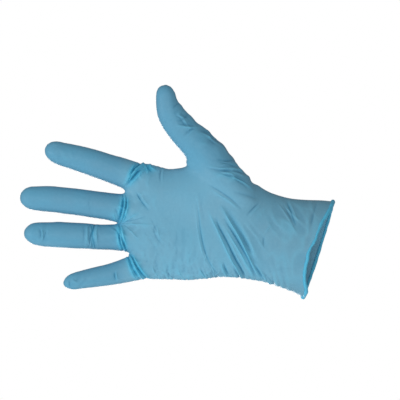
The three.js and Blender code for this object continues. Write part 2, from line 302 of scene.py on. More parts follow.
# Tension folds from the ball of the thumb down to the loose lower edge.
HEEL_FOLDS = creases(
    (0.8, -0.6, (-86.9, 52.4), (-80.5, 48.8), (-74.6, 44.8), (-69.0, 40.4), (-62.0, 33.0)),
    (0.9, 0.7, (-84.6, 48.0), (-77.5, 43.2), (-71.1, 38.9), (-64.5, 32.5)),
    (0.95, 1.75, (-77.4, 33.4), (-70.5, 21.9), (-64.1, 11.3), (-58.2, -0.4), (-52.3, -12.1),
     (-46.2, -22.5)),
    (1.9, -1.1, (-74.0, 33.0), (-67.6, 22.5), (-61.2, 12.5), (-55.7, 1.5), (-50.6, -9.5)),
    (2.4, 0.7, (-64.0, 23.0), (-56.5, 11.0), (-50.5, -2.0), (-44.5, -16.0)),
    (0.75, -1.15, (-75.0, 24.0), (-69.5, 15.5), (-64.1, 6.7), (-57.4, -5.1), (-52.9, -14.4),
     (-49.8, -20.8)),
    (0.8, 0.9, (-76.2, 19.5), (-67.9, 6.4), (-61.0, -5.1), (-55.2, -15.8), (-52.5, -21.5)),
    (0.85, -1.3, (-82.0, 24.5), (-79.0, 17.5), (-72.4, 5.2), (-66.3, -7.4), (-60.2, -17.8), (-58.6, -20.6)),
    (0.9, 1.1, (-88.0, 30.5), (-82.6, 19.2), (-75.8, 5.0), (-69.6, -7.8), (-63.4, -18.2), (-61.8, -21.0)),
    (0.7, 0.6, (-70.0, 4.5), (-64.4, -6.6), (-58.0, -17.6)),
    (0.65, -0.75, (-96.9, 38.3), (-94.5, 17.2), (-91.6, 3.2), (-87.4, -8.6), (-80.2, -19.6)),
    (0.75, 0.6, (-99.0, 38.5), (-96.8, 17.2), (-93.8, 2.8), (-89.6, -9.2), (-82.8, -20.2)),
    (0.8, 0.5, (-92.0, 0.0), (-86.0, -10.4), (-79.6, -18.0)),
    (0.7, -1.0, (-76.0, -9.4), (-73.5, -16.6), (-70.2, -21.2)),
    (0.7, 0.8, (-78.0, -10.4), (-75.4, -17.4), (-72.2, -21.8)),
    (0.7, -0.6, (-94.6, -13.8), (-92.0, -18.4), (-89.6, -22.0)),
    (0.7, 0.6, (-92.6, -13.4), (-90.0, -18.0), (-87.4, -21.6)),
    (0.7, -0.7, (-86.0, -14.6), (-83.4, -19.2), (-80.4, -22.4)),
    (0.65, -0.6, (-68.0, -12.6), (-65.4, -18.4), (-62.2, -22.8)),
    (0.65, 0.6, (-66.2, -12.0), (-63.4, -18.0), (-60.0, -22.6)),
    (0.65, 0.7, (-56.4, -11.0), (-53.2, -17.6), (-49.6, -23.2)),
    (0.7, -0.9, (-50.6, -12.2), (-46.8, -18.4), (-43.2, -23.8)),
    (0.7, 0.7, (-49.0, -11.6), (-45.0, -17.8), (-41.2, -23.4)),
    (0.9, 0.7, (-44.6, -20.4), (-39.7, -25.6), (-36.2, -28.4)),
    (0.9, -0.5, (-42.6, -19.0), (-37.6, -24.6), (-33.8, -27.6)),
    (1.2, 0.5, (-37.4, -22.4), (-32.0, -27.0), (-28.2, -30.4)),
    (1.1, 0.4, (-28.6, -28.6), (-25.0, -31.0), (-21.4, -33.2)),
)

# Fine folds over the thumb's side of the wrist and in the cuff.
WRIST_FOLDS = creases(
    (0.79, 0.61, (-81.5, 64.3), (-67.6, 64.7), (-59.8, 60.8)),
    (0.65, -0.42, (-81.5, 62.7), (-67.6, 62.7), (-60.6, 59.3)),
    (0.86, 0.73, (-82.3, 61.6), (-70.7, 57.7), (-60.6, 53.1), (-53.6, 46.9)),
    (0.86, -0.61, (-78.4, 61.2), (-67.6, 58.1), (-56.7, 51.5)),
    (1.01, -0.61, (-76.9, 70.1), (-70.7, 70.9), (-64.5, 69.3)),
    (0.86, 0.49, (-80.0, 67.0), (-72.2, 67.8), (-63.7, 66.2)),
    (1.73, -0.61, (-67.6, 46.1), (-58.3, 43.8), (-49.0, 39.9)),
    (0.7, -0.7, (-57.0, 27.9), (-52.3, 32.7), (-47.8, 37.0)),
    (0.7, 0.55, (-54.8, 27.2), (-50.4, 31.4), (-46.0, 35.4)),
    (0.77, 0.38, (-49.7, 23.6), (-45.1, 29.8), (-41.2, 33.7)),
    (0.61, 0.54, (-42.8, 13.5), (-37.3, 19.7)),
    (0.54, -0.33, (-41.2, 12.0), (-35.8, 17.4)),
    (0.54, -0.54, (-43.1, 11.2), (-43.7, 6.6), (-43.1, 1.9)),
    (1.07, 0.59, (-32.7, 36.8), (-27.3, 29.8), (-21.8, 21.3), (-17.2, 12.0)),
    (0.77, -0.52, (-28.8, 36.8), (-24.2, 29.8), (-20.3, 22.1)),
    (0.84, -0.74, (-24.9, 37.6), (-21.8, 30.6), (-18.0, 19.7)),
    (0.92, 0.45, (-22.6, 37.6), (-19.5, 30.6), (-15.6, 21.3)),
    (0.99, -0.45, (-0.9, 36.8), (-3.6, 27.5), (-6.3, 16.6)),
    (1.38, 0.3, (-4.0, 36.0), (-6.3, 26.7), (-8.7, 16.6)),
    (1.38, -0.23, (-13.3, 32.9), (-7.9, 30.6), (-2.5, 29.8)),
    (0.77, 0.27, (-24.9, -2.0), (-23.4, -8.9), (-20.3, -15.1)),
    (0.77, 0.22, (-36.6, -13.6), (-28.8, -12.0), (-19.5, -11.3)),
    (0.69, -0.22, (-36.6, -16.7), (-27.3, -15.1), (-18.0, -15.1)),
)

# Creases of the palm, the star of pulls behind the webs and the ripples of the lower edge.
PALM_CREASES = creases(
    (0.72, -0.82, (-146.3, 46.4), (-142.4, 39.5), (-136.2, 31.7)),
    (0.86, 0.47, (-143.6, 46.4), (-140.1, 40.2), (-134.7, 34.0)),
    (1.3, 0.47, (-134.7, 59.6), (-137.0, 55.0), (-136.2, 49.5)),
    (0.6, -0.6, (-126.2, 64.3), (-126.9, 60.4), (-126.8, 54.2)),
    (0.6, 0.45, (-124.2, 65.0), (-125.0, 59.6), (-125.0, 53.4)),
    (0.6, 0.35, (-127.7, 65.0), (-128.3, 60.4), (-128.1, 55.0)),
    (0.79, -0.47, (-129.3, 20.1), (-131.6, 16.2), (-130.0, 10.0), (-126.2, 4.6)),
    (0.94, 0.41, (-126.9, 20.1), (-128.9, 15.4), (-127.3, 10.0), (-123.1, 4.6)),
    (1.15, -0.34, (-132.4, 4.6), (-129.3, -3.2), (-131.6, -12.5)),
    (1.58, 0.41, (-129.3, 44.9), (-131.6, 37.9), (-129.3, 30.9)),
    (1.01, -0.34, (-114.5, 16.2), (-113.8, 9.2), (-115.3, 1.5)),
    (0.94, 0.47, (-97.5, 44.9), (-95.9, 34.0), (-94.4, 22.4), (-92.1, 10.8)),
    (0.79, -0.34, (-95.2, 44.9), (-93.6, 34.0), (-91.7, 22.4)),
    (1.08, 0.34, (-102.9, 22.4), (-101.4, 10.8), (-102.1, -0.8), (-101.4, -10.9)),
    (0.94, -0.27, (-109.1, 18.5), (-108.3, 6.9), (-109.9, -4.7)),
    (0.72, 0.82, (-157.2, 20.9), (-150.2, 26.3), (-143.2, 29.4)),
    (0.65, 0.68, (-157.2, 19.7), (-144.8, 20.1), (-132.4, 19.3)),
    (0.72, 0.62, (-156.4, 18.5), (-150.2, 13.9), (-143.2, 6.9)),
    (0.65, -0.54, (-155.6, 22.4), (-146.3, 24.0), (-138.6, 26.3)),
    (0.79, 0.68, (-133.9, -12.5), (-131.6, -17.9), (-126.2, -23.3)),
    (0.79, 0.54, (-126.2, -14.8), (-123.1, -19.5), (-118.4, -23.3)),
    (0.72, 0.47, (-112.2, -14.8), (-110.7, -19.5), (-107.6, -23.3)),
    (0.65, -0.47, (-121.5, -15.6), (-120.0, -19.5), (-114.5, -23.7)),
    (0.65, 0.82, (-95.2, -14.8), (-92.1, -19.5), (-88.2, -23.3)),
    (0.58, -0.68, (-92.1, -14.8), (-89.0, -19.5), (-85.1, -22.6)),
)

# Fine upright lines of the palm, each a furrow with a ridge just beside it: rows of the furrow's
# and the ridge's height and the points of the furrow.
TWIN_GAP = 1.3
FURROW_WIDTH, RIDGE_WIDTH = 0.6, 0.65
PALM_LINES = tuple(
    crease
    for furrow, ridge, *line in (
        (-0.28, 0.22, (-126.8, 15.4), (-127.4, 8.1), (-129.2, 0.8), (-127.3, -6.5)),
        (-0.28, 0.22, (-120.7, 8.1), (-118.3, 0.8), (-118.8, -7.7)),
        (-0.35, 0.28, (-113.4, 13.0), (-112.8, 3.2), (-114.0, -6.5), (-112.8, -16.2)),
        (-0.28, 0.22, (-107.3, 17.8), (-107.9, 8.1), (-106.7, -2.8)),
        (-0.35, 0.28, (-103.7, 0.8), (-103.0, -8.9), (-104.9, -17.4)),
        (-0.28, 0.22, (-99.4, 8.1), (-98.8, -2.8), (-100.0, -13.8)),
        (-0.32, 0.25, (-140.1, 0.8), (-137.7, -8.9), (-134.0, -17.4)),
        (-0.35, 0.28, (-123.1, -7.7), (-120.7, -13.8), (-121.9, -19.8)),
        (-0.35, 0.28, (-117.0, -8.9), (-115.8, -16.2), (-117.0, -21.0)),
        (-0.35, 0.28, (-109.2, -6.0), (-108.0, -13.0), (-109.6, -20.4)),
        (-0.35, 0.28, (-131.4, -8.0), (-129.0, -14.6), (-127.4, -20.6)),
        (-0.32, 0.25, (-96.4, -4.4), (-95.8, -12.0), (-97.2, -19.6)),
        (-0.28, 0.22, (-134.6, 24.6), (-131.0, 18.6), (-128.4, 11.8)),
        (-0.24, 0.2, (-141.0, 14.6), (-136.8, 10.2), (-132.8, 4.0)),
    )
    for crease in (
        Crease(tuple(line), FURROW_WIDTH, furrow),
        Crease(tuple((round(x - TWIN_GAP, 1), z) for x, z in line), RIDGE_WIDTH, ridge),
    )
)

# Bunched film across the base of each finger.
GATHERS = creases(
    (0.83, 1.85, (-155.5, 53.0), (-150.2, 60.4), (-144.8, 65.0), (-139.3, 68.9)),
    (0.68, -1.72, (-153.7, 52.2), (-149.4, 57.3), (-145.9, 61.5), (-143.2, 63.5)),
    (0.83, 1.32, (-152.5, 51.1), (-147.1, 56.5), (-142.4, 61.9), (-137.8, 66.6)),
    (0.68, -1.45, (-152.5, 55.7), (-148.6, 63.5), (-144.8, 67.4), (-140.9, 69.3)),
    (0.75, 1.06, (-153.3, 58.1), (-150.2, 64.3), (-147.1, 68.9)),
    (0.98, 0.79, (-141.7, 67.4), (-138.6, 65.0), (-137.0, 60.4)),
    (0.83, -0.66, (-139.3, 68.1), (-137.0, 65.0), (-133.9, 61.9)),
    (0.9, 0.66, (-136.2, 68.1), (-133.9, 65.0), (-130.0, 62.7)),
    (0.75, 1.85, (-155.2, 43.7), (-155.5, 35.6), (-157.3, 27.8), (-159.3, 22.4)),
    (0.61, -1.58, (-156.7, 42.6), (-157.2, 34.8), (-159.1, 27.1), (-160.4, 23.2)),
    (0.75, 0.92, (-157.9, 42.6), (-158.9, 34.8), (-161.0, 27.8)),
    (0.61, -1.19, (-154.1, 41.0), (-154.7, 34.0), (-156.8, 26.3)),
    (0.83, 1.06, (-152.5, 41.8), (-153.3, 34.0), (-155.5, 26.3), (-157.2, 22.4)),
    (0.75, 1.85, (-161.0, 18.9), (-159.1, 10.8), (-157.2, 3.8), (-154.5, -1.6)),
    (0.61, -1.58, (-160.3, 18.5), (-159.3, 6.9), (-156.8, -0.8)),
    (0.75, 0.92, (-162.2, 18.5), (-161.0, 9.2), (-159.1, -0.1)),
    (0.68, -1.72, (-158.3, 10.8), (-156.5, 4.6), (-154.1, -0.8)),
    (0.83, 1.06, (-158.3, 18.5), (-156.4, 10.0), (-153.7, 2.3)),
    (0.83, 1.58, (-152.1, -2.8), (-148.6, -11.7), (-144.8, -18.7), (-140.1, -24.1)),
    (0.68, -1.19, (-150.6, -3.2), (-147.1, -11.7), (-142.4, -18.7), (-137.8, -23.3)),
    (0.75, 0.92, (-149.0, -4.7), (-144.8, -12.5), (-139.3, -19.5), (-134.7, -23.7)),
    (0.68, -0.92, (-153.3, -3.9), (-150.6, -11.7), (-147.1, -18.7), (-143.2, -23.7)),
    (0.75, 0.79, (-154.5, -4.7), (-152.5, -11.7), (-149.4, -19.5), (-145.9, -24.1)),
)

# Creases at the joints of the fingers and on the thumb.
DIGIT_CREASES = creases(
    (0.65, -0.99, (-183.1, 19.1), (-181.8, 14.7), (-182.7, 9.5), (-181.4, 1.1)),
    (0.65, -1.16, (-180.1, 19.1), (-181.6, 12.1), (-179.5, 1.1)),
    (0.56, 0.78, (-181.8, 19.1), (-181.2, 12.1), (-180.5, 1.1)),
    (0.81, 0.68, (-177.9, 18.7), (-178.3, 12.1), (-177.4, 1.6)),
    (0.56, -0.57, (-184.0, 10.3), (-183.6, 5.9), (-184.9, 1.1)),
    (0.65, -0.42, (-188.4, 18.2), (-188.2, 12.1), (-188.8, 5.9)),
    (0.65, 0.57, (-186.2, 18.2), (-186.0, 12.1), (-186.7, 3.3)),
    (0.65, -0.57, (-223.5, 16.5), (-223.2, 12.5), (-222.8, 8.6)),
    (0.65, 0.57, (-221.3, 16.5), (-222.0, 12.5), (-221.6, 8.6)),
    (0.65, -0.5, (-218.7, 14.7), (-219.9, 10.8), (-220.9, 6.8)),
    (0.72, -0.66, (-165.1, 16.9), (-162.1, 14.7), (-161.2, 12.1)),
    (0.65, -0.83, (-163.4, -18.2), (-163.5, -21.3), (-162.8, -24.6)),
    (0.65, 0.68, (-162.1, -18.6), (-162.1, -21.3), (-161.4, -24.4)),
    (0.65, -0.66, (-199.7, -24.8), (-200.0, -27.4), (-199.3, -30.5)),
    (0.65, -0.42, (-197.2, -23.9), (-195.4, -25.2), (-192.8, -24.8)),
    (0.72, -0.33, (-184.0, 43.7), (-184.4, 36.7), (-183.0, 29.2)),
    (0.72, -0.66, (-163.0, 33.2), (-161.6, 29.7), (-160.5, 25.3)),
    (0.72, 0.78, (-165.1, 29.7), (-163.4, 26.1), (-162.5, 23.5)),
    (0.68, -0.17, (-209.1, 78.8), (-208.8, 75.3), (-209.3, 71.4)),
    (0.68, -0.5, (-112.4, 117.4), (-114.4, 115.6), (-116.5, 113.0)),
    (0.98, -0.39, (-112.9, 112.0), (-114.4, 109.9), (-115.2, 107.9)),
    (0.83, 0.28, (-110.3, 112.0), (-111.9, 109.4), (-113.9, 107.9)),
    (1.06, -0.45, (-105.1, 109.9), (-106.2, 106.6), (-110.3, 103.7), (-113.4, 103.2)),
    (0.83, 0.22, (-103.6, 106.3), (-105.7, 103.2), (-109.8, 101.7)),
    (0.76, 0.34, (-114.4, 100.1), (-109.3, 99.4), (-103.1, 97.8), (-98.4, 98.6)),
    (0.98, -0.28, (-111.3, 102.7), (-106.2, 100.6), (-100.5, 100.1)),
    (0.68, 0.28, (-105.7, 94.4), (-103.3, 97.0), (-99.5, 98.6)),
    (0.68, -0.39, (-104.9, 92.1), (-102.0, 96.0), (-97.9, 97.0)),
    (0.61, -0.22, (-107.2, 92.9), (-105.1, 95.5), (-102.0, 97.5)),
    (0.91, -0.5, (-94.0, 95.5), (-88.6, 93.2), (-85.0, 89.3)),
    (0.91, 0.37, (-94.8, 93.9), (-89.6, 91.3), (-86.5, 87.7)),
    (0.91, -0.41, (-82.4, 88.2), (-79.8, 85.1), (-77.2, 80.5)),
    (0.83, 0.41, (-79.3, 83.1), (-76.2, 78.4), (-72.6, 73.8)),
    (0.68, -0.33, (-77.8, 83.1), (-74.7, 79.0), (-71.0, 74.8)),
    (1.82, 0.33, (-85.5, 85.1), (-81.9, 80.0), (-78.8, 74.3)),
    (0.68, -0.21, (-122.7, 105.3), (-122.1, 102.7), (-120.6, 100.6)),
    (1.06, 0.14, (-115.5, 95.5), (-115.0, 92.9), (-113.4, 90.3)),
    (1.22, 0.25, (-103.1, 76.9), (-103.6, 72.8), (-104.1, 67.6)),
    (0.83, -0.25, (-105.1, 74.3), (-104.9, 70.7), (-105.4, 66.6)),
    (0.65, -0.48, (-114.2, 107.4), (-110.1, 104.5), (-107.2, 99.8)),
    (0.65, 0.41, (-112.4, 108.2), (-108.4, 105.0), (-105.4, 100.8)),
    (0.6, -0.41, (-111.0, 109.4), (-107.0, 106.6), (-103.6, 103.4)),
    (0.65, 0.48, (-113.6, 99.4), (-105.9, 98.2), (-100.1, 97.4), (-95.4, 98.1)),
    (0.6, -0.41, (-113.0, 101.0), (-105.5, 100.0), (-99.5, 99.2)),
    (0.6, -0.48, (-107.4, 91.2), (-104.2, 95.0), (-100.1, 97.0)),
    (0.6, 0.41, (-105.6, 90.4), (-102.4, 94.0), (-98.6, 96.2)),
    (0.65, -0.6, (-94.9, 95.3), (-88.4, 91.8), (-83.7, 87.7), (-80.2, 84.6)),
    (0.65, 0.5, (-94.6, 93.6), (-88.2, 89.9), (-83.4, 85.6), (-79.6, 82.0)),
    (0.6, -0.4, (-94.2, 91.8), (-87.8, 88.0), (-83.1, 83.6)),
    (0.65, -0.5, (-88.4, 65.8), (-79.0, 63.5), (-69.7, 62.3), (-60.3, 60.2)),
    (0.65, 0.45, (-88.4, 67.4), (-79.0, 65.2), (-69.7, 64.2), (-61.5, 62.4)),
    (0.65, -0.4, (-84.9, 71.7), (-76.6, 71.1), (-69.7, 69.4)),
    (0.65, -0.45, (-80.0, 69.8), (-72.0, 67.6), (-66.0, 64.4)),
    (0.7, -0.5, (-82.0, 61.6), (-72.5, 58.6), (-63.5, 53.6), (-58.0, 49.4)),
    (0.7, 0.45, (-80.6, 63.2), (-71.0, 60.2), (-62.0, 55.4)),
)

# Loose film over the knuckles, the wrist and the cuff on the back of the hand.
BACK_CREASES = creases(
    (1.0, 0.5, (-187.5, 79.0), (-186.0, 71.0), (-184.0, 63.5)),
    (0.9, -0.4, (-190.0, 79.0), (-189.0, 72.0), (-187.0, 64.5)),
    (0.9, -0.4, (-183.5, 78.0), (-182.5, 71.0), (-181.0, 63.0)),
    (1.0, 0.5, (-197.5, 46.5), (-196.5, 38.0), (-197.0, 30.5)),
    (0.9, -0.4, (-200.0, 46.5), (-199.5, 38.5), (-200.0, 31.0)),
    (0.9, -0.4, (-194.0, 46.0), (-193.0, 38.0), (-193.5, 30.5)),
    (1.0, 0.5, (-189.0, 18.5), (-188.0, 10.6), (-188.5, 3.0)),
    (0.9, -0.4, (-191.5, 18.0), (-191.0, 10.8), (-191.5, 3.5)),
    (0.9, -0.4, (-185.5, 18.0), (-184.5, 10.4), (-185.0, 3.0)),
    (1.0, 0.45, (-172.0, -14.5), (-171.0, -21.0), (-173.0, -27.5)),
    (0.9, -0.35, (-174.5, -15.0), (-173.5, -21.5), (-175.5, -28.0)),
    (1.3, 0.7, (-150.0, 66.0), (-154.0, 58.0), (-158.0, 50.0)),
    (1.1, -0.5, (-147.0, 66.0), (-151.0, 58.0), (-155.0, 50.5)),
    (1.3, 0.7, (-158.0, 42.0), (-160.0, 33.0), (-162.0, 25.0)),
    (1.1, -0.5, (-155.0, 42.0), (-157.0, 33.0), (-159.0, 25.0)),
    (1.3, 0.7, (-160.0, 18.0), (-160.0, 9.0), (-157.0, 0.5)),
    (1.1, -0.5, (-157.0, 18.0), (-157.0, 9.0), (-154.0, 0.0)),
    (1.3, 0.6, (-151.0, -6.0), (-148.0, -14.0), (-142.0, -23.0)),
    (1.1, -0.4, (-148.0, -6.0), (-145.0, -14.0), (-139.0, -23.0)),
    (2.4, 0.9, (-96.0, 62.0), (-84.0, 48.0), (-66.0, 30.0), (-44.0, 18.0)),
    (1.8, -0.7, (-90.0, 64.0), (-76.0, 48.0), (-58.0, 34.0), (-36.0, 26.0)),
    (1.6, 0.6, (-82.0, 62.0), (-66.0, 46.0), (-48.0, 38.0)),
    (1.8, 0.6, (-98.0, -20.0), (-80.0, -10.0), (-62.0, -6.0)),
    (1.4, -0.5, (-92.0, -22.0), (-76.0, -14.0), (-60.0, -12.0)),
    (2.0, 0.8, (-66.0, -22.0), (-60.0, -4.0), (-52.0, 14.0)),
    (1.6, -0.7, (-60.0, -22.0), (-54.0, -6.0), (-45.0, 10.0)),
    (1.8, 0.7, (-54.0, -23.0), (-47.0, -8.0), (-38.0, 6.0)),
    (2.2, 0.8, (-36.0, 40.0), (-28.0, 26.0), (-24.0, 8.0)),
    (1.6, -0.6, (-30.0, 40.0), (-22.0, 26.0), (-19.0, 10.0)),
    (2.4, 0.8, (-24.0, -28.0), (-18.0, -12.0), (-14.0, 4.0)),
    (1.8, -0.6, (-18.0, -31.0), (-12.0, -16.0), (-8.0, -2.0)),
    (2.4, 0.6, (2.0, 34.0), (-2.0, 20.0), (-6.0, 6.0)),
)

# The loose lower edge, and the edge between the index finger and the thumb.
FLUTES = (
    Flutes(
        ((-138.0, -22.8), (-128.0, -24.4), (-111.0, -24.6), (-93.0, -24.0), (-80.0, -23.2), (-68.0, -23.0),
         (-58.5, -23.9), (-50.0, -25.4), (-42.0, -26.9), (-33.6, -29.4), (-25.4, -32.2), (-16.0, -36.0)),
        (2.9, 4.4, 5.6), (0.28, 0.75, 0.5), (0.0, 0.55, 0.7), 8.5,
    ),
    Flutes(
        ((-137.0, 68.4), (-129.0, 66.9), (-119.0, 64.4), (-112.0, 65.0)),
        (3.4, 3.6, 3.0), (0.5, 0.4, 0.1), (0.0, 0.2, 0.4), 4.5,
    ),
)

# Fine wrinkles: on the palm side from the palm to the cuff, then the same on the back.
PALM_CRUMPLES = table(
    Crumple,
    (-108.0, -10.0, 34.0, 17.0, 88.0, 2.5, 13.0, 0.36),
    (-100.0, -20.0, 38.0, 5.0, 100.0, 2.0, 6.0, 0.55),
    (-128.0, 8.0, 14.0, 16.0, 104.0, 2.4, 9.0, 0.26),
    (-147.0, 20.0, 9.0, 9.0, 6.0, 2.6, 9.0, 0.44),
    (-144.0, 42.0, 9.0, 12.0, -52.0, 2.8, 10.0, 0.37),
    (-142.0, -8.0, 8.0, 10.0, -50.0, 2.6, 9.0, 0.37),
    (-147.5, 61.0, 6.5, 8.0, 52.0, 2.3, 8.0, 0.77),
    (-156.5, 33.0, 4.5, 10.0, 80.0, 2.1, 8.0, 0.77),
    (-157.5, 8.0, 4.5, 9.0, 106.0, 2.1, 8.0, 0.77),
    (-146.0, -14.0, 6.0, 9.0, -60.0, 2.3, 8.0, 0.68),
    (-181.5, 10.0, 6.5, 11.0, 92.0, 2.0, 16.0, 0.58),
    (-221.0, 12.0, 8.0, 8.0, 70.0, 2.6, 9.0, 0.34),
    (-165.0, 12.0, 7.0, 8.0, -40.0, 2.6, 9.0, 0.31),
    (-192.0, -26.0, 12.0, 7.0, 80.0, 2.8, 8.0, 0.34),
    (-163.0, 30.0, 6.0, 9.0, 110.0, 2.6, 9.0, 0.34),
    (-206.0, 76.0, 13.0, 7.0, 100.0, 3.6, 9.0, 0.20),
    (-104.0, 104.0, 10.0, 9.0, 138.0, 2.2, 9.0, 0.3),
    (-88.0, 90.0, 12.0, 8.0, -48.0, 3.4, 14.0, 0.48),
    (-68.0, 62.0, 15.0, 8.0, -24.0, 2.8, 16.0, 0.71),
    (-58.0, 0.0, 16.0, 22.0, -60.0, 2.8, 26.0, 0.5),
    (-24.0, 24.0, 16.0, 16.0, -62.0, 4.2, 22.0, 0.61),
    (-26.0, -8.0, 16.0, 22.0, 70.0, 5.0, 20.0, 0.44),
    (-6.0, 10.0, 9.0, 34.0, 76.0, 3.6, 14.0, 0.51),
    face=Face.PALM,
)

BACK_CRUMPLES = table(
    Crumple,
    (-144.0, 26.0, 16.0, 44.0, 88.0, 3.8, 16.0, 0.44),
    (-186.0, 71.0, 10.0, 12.0, 104.0, 2.6, 14.0, 0.44),
    (-194.0, 38.0, 10.0, 12.0, 90.0, 2.6, 14.0, 0.44),
    (-187.0, 11.0, 10.0, 12.0, 90.0, 2.6, 14.0, 0.44),
    (-170.0, -21.0, 9.0, 9.0, 76.0, 2.6, 12.0, 0.41),
    (-104.0, 92.0, 14.0, 14.0, 30.0, 3.0, 14.0, 0.44),
    (-58.0, 12.0, 26.0, 34.0, -58.0, 4.6, 26.0, 0.58),
    (-14.0, 0.0, 16.0, 34.0, 72.0, 4.6, 20.0, 0.51),
    (-104.0, 24.0, 24.0, 34.0, 8.0, 5.0, 26.0, 0.31),
    face=Face.BACK,
)

# The ball of the thumb, the heel of the palm, the hollow between them and the pads at the fingers.
PALM_SWELLS = table(
    Swell,
    (-84.0, 50.0, 26.0, 20.0, 2.6),
    (-92.0, -4.0, 24.0, 15.0, 2.0),
    (-112.0, 26.0, 17.0, 16.0, -2.2),
    (-136.0, 50.0, 9.0, 9.0, 1.0),
    (-143.0, 28.0, 8.0, 9.0, 1.0),
    (-143.0, 7.0, 8.0, 9.0, 1.0),
    (-131.0, -12.0, 9.0, 8.0, 1.0),
    face=Face.PALM,
)

# The knuckles with the hollows between them, the joints of the fingers and the wrist.
BACK_SWELLS = table(
    Swell,
    (-134.0, 52.0, 9.0, 8.0, 2.0),
    (-140.0, 30.0, 9.0, 8.0, 2.2),
    (-138.0, 8.0, 9.0, 8.0, 2.0),
    (-126.0, -11.0, 9.0, 7.0, 1.8),
    (-134.0, 41.0, 9.0, 4.0, -1.0),
    (-134.0, 19.0, 9.0, 4.0, -1.0),
    (-130.0, -2.0, 9.0, 4.0, -0.9),
    (-186.0, 71.0, 8.0, 7.0, 0.9),
    (-196.0, 38.3, 8.0, 7.0, 0.9),
    (-188.0, 10.6, 8.0, 7.0, 0.9),
    (-171.0, -21.2, 7.0, 6.0, 0.8),
    (-50.0, -8.0, 12.0, 10.0, 2.0),
    face=Face.BACK,
)

# Small bulges and dents of the outline.
OUTLINE_SWELLS = table(
    Swell,
    (-141.5, 69.5, 3.0, 3.0, 0.8),
    (-115.0, 65.4, 6.0, 3.5, 1.0),
    (-128.8, 100.4, 6.0, 9.0, 0.3),
    (-130.0, 120.0, 3.0, 9.0, -0.8),
    (-114.6, 129.6, 4.5, 5.0, -1.0),
    (-122.4, 133.0, 6.0, 3.0, -0.8),
    (-112.6, 122.4, 2.2, 4.0, -0.5),
    (-111.0, 114.6, 2.2, 2.4, 0.4),
    (-97.0, 102.5, 5.0, 4.0, -1.0),
    (-76.5, 83.5, 6.0, 7.0, 1.6),
    (-63.4, 66.4, 3.0, 3.0, -0.6),
    (-55.9, 57.9, 2.6, 2.6, 1.1),
    (-46.0, 48.0, 7.0, 5.0, 0.7),
    (-104.0, -25.0, 9.0, 3.0, 0.8),
    (-77.0, -23.5, 7.0, 3.0, -0.5),
    (-209.0, 22.4, 4.0, 2.0, 0.5),
    (-217.0, 51.0, 9.0, 2.0, 0.5),
    (-204.0, 28.6, 4.0, 2.0, 0.4),
    (-87.5, 94.8, 3.0, 3.0, 0.8),
    (-68.6, 73.6, 3.0, 3.6, 0.5),
    (-48.0, 51.8, 3.0, 3.0, 0.5),
    (-236.0, 34.0, 5.0, 4.0, -0.5),
    (-232.0, 6.0, 6.0, 4.0, -0.6),
    (-218.0, 73.0, 5.0, 5.0, -0.5),
    face=Face.BOTH,
)


@dataclass(frozen=True)
class WebFill:
    """A rounded fill in the corner of a web: its middle, and its reach along X, Y and Z."""

    middle: tuple[float, float, float]
    reach: tuple[float, float, float]
    segments: int = 32
    rings: int = 16

    def build(self, bm: bmesh.types.BMesh, inset: float) -> None:
        """Adds the fill to a mesh.

        Args:
            bm: The mesh that it goes into.
            inset: How far inside the outer film it lies, in millimetres.
        """
        made = bmesh.ops.create_uvsphere(bm, u_segments=self.segments, v_segments=self.rings, radius=MM)
        bmesh.ops.scale(bm, verts=made["verts"], vec=[reach - inset for reach in self.reach])
        bmesh.ops.translate(bm, verts=made["verts"], vec=Vector(self.middle) * MM)


THUMB_WEB_FILL = WebFill((-99.4, -8.0, 70.4), (6.9, 10.0, 6.2))


@dataclass(frozen=True)
class StretchedPatch:
    """A place where the film is drawn straight over a hollow of the form.

    passes is how often it is drawn, ways is its share of each draw along X, Y and Z, and face the
    side of the glove that is drawn.
    """

    x: float
    z: float
    reach_x: float
    reach_z: float
    passes: int
    ways: tuple[float, float, float]
    face: Face


THUMB_WEB = (
    StretchedPatch(-97.0, 60.0, 22.0, 20.0, 240, (0.0, 1.0, 0.0), Face.PALM),
    StretchedPatch(-103.0, 70.0, 9.0, 9.0, 60, (1.0, 1.0, 1.0), Face.BOTH),
)


# Helpers for tables and meshes

SCATTER_TURN = 12.9898
SCATTER_SIZE = 43758.5453


def smooth_rows(rows: np.ndarray, at: np.ndarray) -> np.ndarray:
    """Reads a table between its rows, on a uniform Catmull-Rom curve through them.

    Args:
        rows: The table, one row for each knot.
        at: Where to read, from 0 at the first row to 1 at the last.

    Returns:
        One row for each entry of at.
    """
    last = len(rows) - 1
    padded = np.vstack([2 * rows[0] - rows[1], rows, 2 * rows[-1] - rows[-2]])
    place = np.clip(at, 0, 1) * last
    knot = np.minimum(place.astype(int), last - 1)
    w = (place - knot)[:, None]
    a, b, c, d = (padded[knot + i] for i in range(4))
    return 0.5 * (2 * b + (c - a) * w + (2 * a - 5 * b + 4 * c - d) * w**2 + (3 * b - a - 3 * c + d) * w**3)


def smooth_step(value: np.ndarray, start: float, end: float) -> np.ndarray:
    """Rises smoothly from 0 at start to 1 at end."""
    t = np.clip((value - start) / (end - start), 0, 1)
    return t * t * (3 - 2 * t)


def run_along(line: np.ndarray) -> np.ndarray:
    """How far along a line each of its points lies."""
    return np.concatenate([[0], np.cumsum(np.linalg.norm(np.diff(line, axis=0), axis=1))])


def close_by(xz: np.ndarray, line: np.ndarray, margin: float) -> np.ndarray:
    """Which points lie in the box round a line, with a margin round it."""
    return np.all((xz > line.min(axis=0) - margin) & (xz < line.max(axis=0) + margin), axis=1)


def spread(xz: np.ndarray, patch: Swell | Crumple | StretchedPatch) -> np.ndarray:
    """How far points lie from the middle of a patch, squared, as 1 at its reach."""
    return ((xz[:, 0] - patch.x) / patch.reach_x) ** 2 + ((xz[:, 1] - patch.z) / patch.reach_z) ** 2


